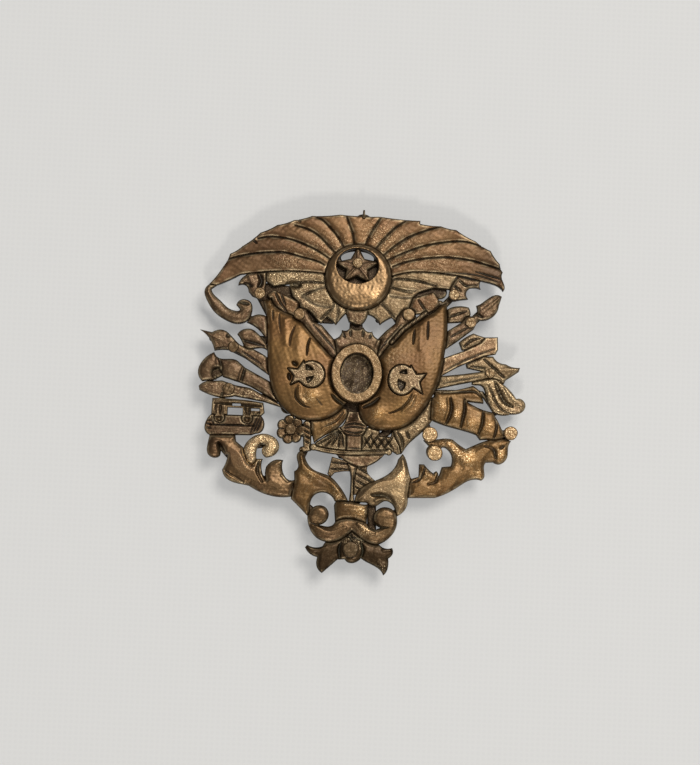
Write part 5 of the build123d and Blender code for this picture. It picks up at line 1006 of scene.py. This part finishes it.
def splitPin(settings):
    # two half-round legs with a slit between them, and an eye at the near end
    low, high = [np.array(corner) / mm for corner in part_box(settings["node"])]
    wireRadius, gap = settings["wire"], settings["slit"] / 2
    y, z = (low[1] + high[1]) / 2, (low[2] + high[2]) / 2
    eyeReach = settings["eyeBend"] + settings["eyeWire"]
    head = low[0] + 2 * eyeReach - settings["eyeWire"]
    stations = np.concatenate([np.linspace(head, high[0] - 0.3, 40), [high[0] - 0.1, high[0]]])
    taper = np.concatenate([np.ones(40), [0.9, 0.7]])
    parts = []
    for side in (1, -1):
        start = math.asin(gap / wireRadius)
        angle = np.linspace(start, math.pi - start, 16)
        ringY, ringZ = wireRadius * np.cos(angle), side * wireRadius * np.sin(angle)
        x = np.repeat(stations, len(angle))
        ys = y + (taper[:, None] * ringY).ravel()
        zs = z + (side * gap + taper[:, None] * (ringZ - side * gap)).ravel()
        faces = gridFaces(len(stations), len(angle), closedColumns=True)
        ends = [list(range(len(angle))), list(range(len(x) - len(angle), len(x)))[::-1]]
        faces = faces.tolist() + ends
        if side > 0:
            faces = [face[::-1] for face in faces]
        crest = np.clip(0.6 + 0.3 * waves(np.column_stack([x, ys]), 2, 61), 0, 1)
        parts.append((np.column_stack([x, ys, zs]), faces, crest))
    v = np.linspace(0, 2 * math.pi, 72, endpoint=False)
    bend = settings["eyeBend"]
    loop = np.column_stack([low[0] + eyeReach + bend * np.cos(v), y + bend * np.sin(v), np.full(72, z)])
    parts.append(wire(loop, settings["eyeWire"], closed=True))
    joined("splitPin", parts, "wireBrass", settings["node"], "split_pin")


def lugPath(x, y, reach, bottom, top, radius):
    # a U: down one side, round the bend, and up the other
    u = np.linspace(0, math.pi, 24)
    rise = np.linspace(top, bottom + reach + radius, 8)[:-1]
    ys = np.concatenate([np.full(7, y - reach), y - reach * np.cos(u), np.full(7, y + reach)])
    zs = np.concatenate([rise, bottom + radius + reach - reach * np.sin(u), rise[::-1]])
    return np.column_stack([np.full(len(ys), x), ys, zs])


splitPin(pinSettings)
lugWire = 0.5
lugReach = 1.6
lugLow, lugHigh = [np.array(corner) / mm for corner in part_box("wire_lugs")]
lugPaths = [lugPath(x, y, lugReach, lugLow[2], lugHigh[2], lugWire)
            for x, y, *head in pieceCentres("wire_lugs")]
joined("wireLugs", [wire(path, lugWire) for path in lugPaths],
       "wireBrass", "wire_lugs", "badge")

eyeSettings = {"node": "top_eye", "wire": 0.18, "bend": 0.45, "bead": 0.34, "corner": 0.4, "plateFront": 5.2}


def topEye(settings):
    # wire from the plate's front over the edge, round the hinge and back up, with a solder bead at its start
    low, high = [np.array(corner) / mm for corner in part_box(settings["node"])]
    radius, bend, corner = settings["wire"], settings["bend"], settings["corner"]
    x, lie = (low[0] + high[0]) / 2, high[2] - 2 * settings["bead"] + radius
    start, far = low[1] + settings["bead"], pivot[1] + bend
    a = np.linspace(0, math.pi / 2, 10)
    b = np.linspace(0, math.pi, 20)
    ys = [np.linspace(start, far - corner, 5)[:-1], far - corner + corner * np.sin(a),
          np.full(4, far), pivot[1] + bend * np.cos(b), np.full(4, far - 2 * bend)]
    zs = [np.full(4, lie), lie - corner + corner * np.cos(a), np.linspace(lie - corner, pivot[2], 6)[1:-1],
          pivot[2] - bend * np.sin(b), np.linspace(pivot[2], settings["plateFront"], 5)[1:]]
    ys, zs = np.concatenate(ys), np.concatenate(zs)
    parts = [wire(np.column_stack([np.full(len(ys), x), ys, zs]), radius, sides=14)]
    u = np.linspace(0, 2 * math.pi, 20, endpoint=False)[:, None]
    w = np.linspace(0.02, math.pi - 0.02, 12)[None, :]
    bead = settings["bead"]
    flat = np.stack([x + bead * np.sin(w) * np.cos(u), start + bead * np.sin(w) * np.sin(u),
                     high[2] - bead - bead * np.cos(w) + 0 * u], axis=-1).reshape(-1, 3)
    ends = [list(range(0, 240, 12))[::-1], list(range(11, 240, 12))]
    parts.append((flat, gridFaces(20, 12, closedRows=True).tolist() + ends, np.ones(len(flat))))
    joined("topEye", parts, "wireBrass", settings["node"], "badge")


topEye(eyeSettings)
print("wires made")

# ---- floor, light and camera

floorFinish = Finish("pale cloth")
where = floorFinish.place()
weaveSockets = {"Vector": where, "Scale": 0.32, "Distortion": 0.6}
threads = floorFinish.node("ShaderNodeTexWave", {"bands_direction": "X"}, weaveSockets)
rows = floorFinish.node("ShaderNodeTexWave", {"bands_direction": "Y"}, weaveSockets)
floorFinish.connect(floorFinish.surface, {"Roughness": 0.95,
                                          "Emission Color": (0.97, 0.97, 0.96, 1), "Emission Strength": 0.28})
cloth = floorFinish.blend((threads * rows * 1.6).clipped(), (0.400, 0.394, 0.380), (0.386, 0.380, 0.368))
floorFinish.connect(floorFinish.surface, {"Base Color": cloth})
weave = floorFinish.node("ShaderNodeBump", {},
                         {"Strength": 0.06, "Distance": 0.1 * mm, "Height": threads + rows})
floorFinish.connect(floorFinish.surface, {"Normal": weave})
bpy.ops.mesh.primitive_plane_add(size=1.6, location=(0, 0, 0))
floor = bpy.context.active_object
floor.name = "floor"
floor.data.materials.append(floorFinish.material)

world = bpy.data.worlds.new("room")
bpy.context.scene.world = world
world.use_nodes = True
world.node_tree.nodes["Background"].inputs[0].default_value = (0.95, 0.97, 1.0, 1)
world.node_tree.nodes["Background"].inputs[1].default_value = 0.30


def softLight(name, place, size, energy, colour=(1, 1, 1)):
    lamp = bpy.data.lights.new(name, "AREA")
    lamp.shape, lamp.size, lamp.energy, lamp.color = "SQUARE", size, energy, colour
    holder = bpy.data.objects.new(name, lamp)
    holder.location = place
    holder.rotation_euler = (Vector((0, 0, 0)) - Vector(place)).to_track_quat("-Z", "Y").to_euler()
    bpy.context.scene.collection.objects.link(holder)


softLight("ceiling", (0.20, 0.26, 0.84), 0.30, 5.1, (1.0, 0.98, 0.95))
softLight("lower", (0.04, -0.55, 0.75), 0.12, 2.4, (1.0, 0.98, 0.94))

cameraSettings = {"target": (-1.77, 1.46, 6.5), "distance": 420.0, "tiltDown": 4.5, "tiltLeft": 1.0,
                  "roll": 2.196, "viewWidth": 126.0}


def addCamera(settings):
    target = Vector(settings["target"]) * mm
    leanX = -math.sin(math.radians(settings["tiltLeft"]))
    leanY = -math.sin(math.radians(settings["tiltDown"]))
    away = Vector((leanX, leanY, math.sqrt(1 - leanX ** 2 - leanY ** 2)))
    roll = math.radians(settings["roll"])
    up = Vector((-math.sin(roll), math.cos(roll), 0))
    right = up.cross(away).normalized()
    up = away.cross(right)
    camera = bpy.data.cameras.new("camera")
    camera.sensor_fit, camera.sensor_width = "HORIZONTAL", 36.0
    camera.lens = 36.0 * settings["distance"] / settings["viewWidth"]
    camera.clip_start = 0.01
    holder = bpy.data.objects.new("camera", camera)
    holder.matrix_world = Matrix.Translation(target + away * settings["distance"] * mm) @ Matrix(
        (right, up, away)).transposed().to_4x4()
    bpy.context.scene.collection.objects.link(holder)
    bpy.context.scene.camera = holder


addCamera(cameraSettings)
bpy.context.scene.view_settings.view_transform = "Standard"
print("stage set")
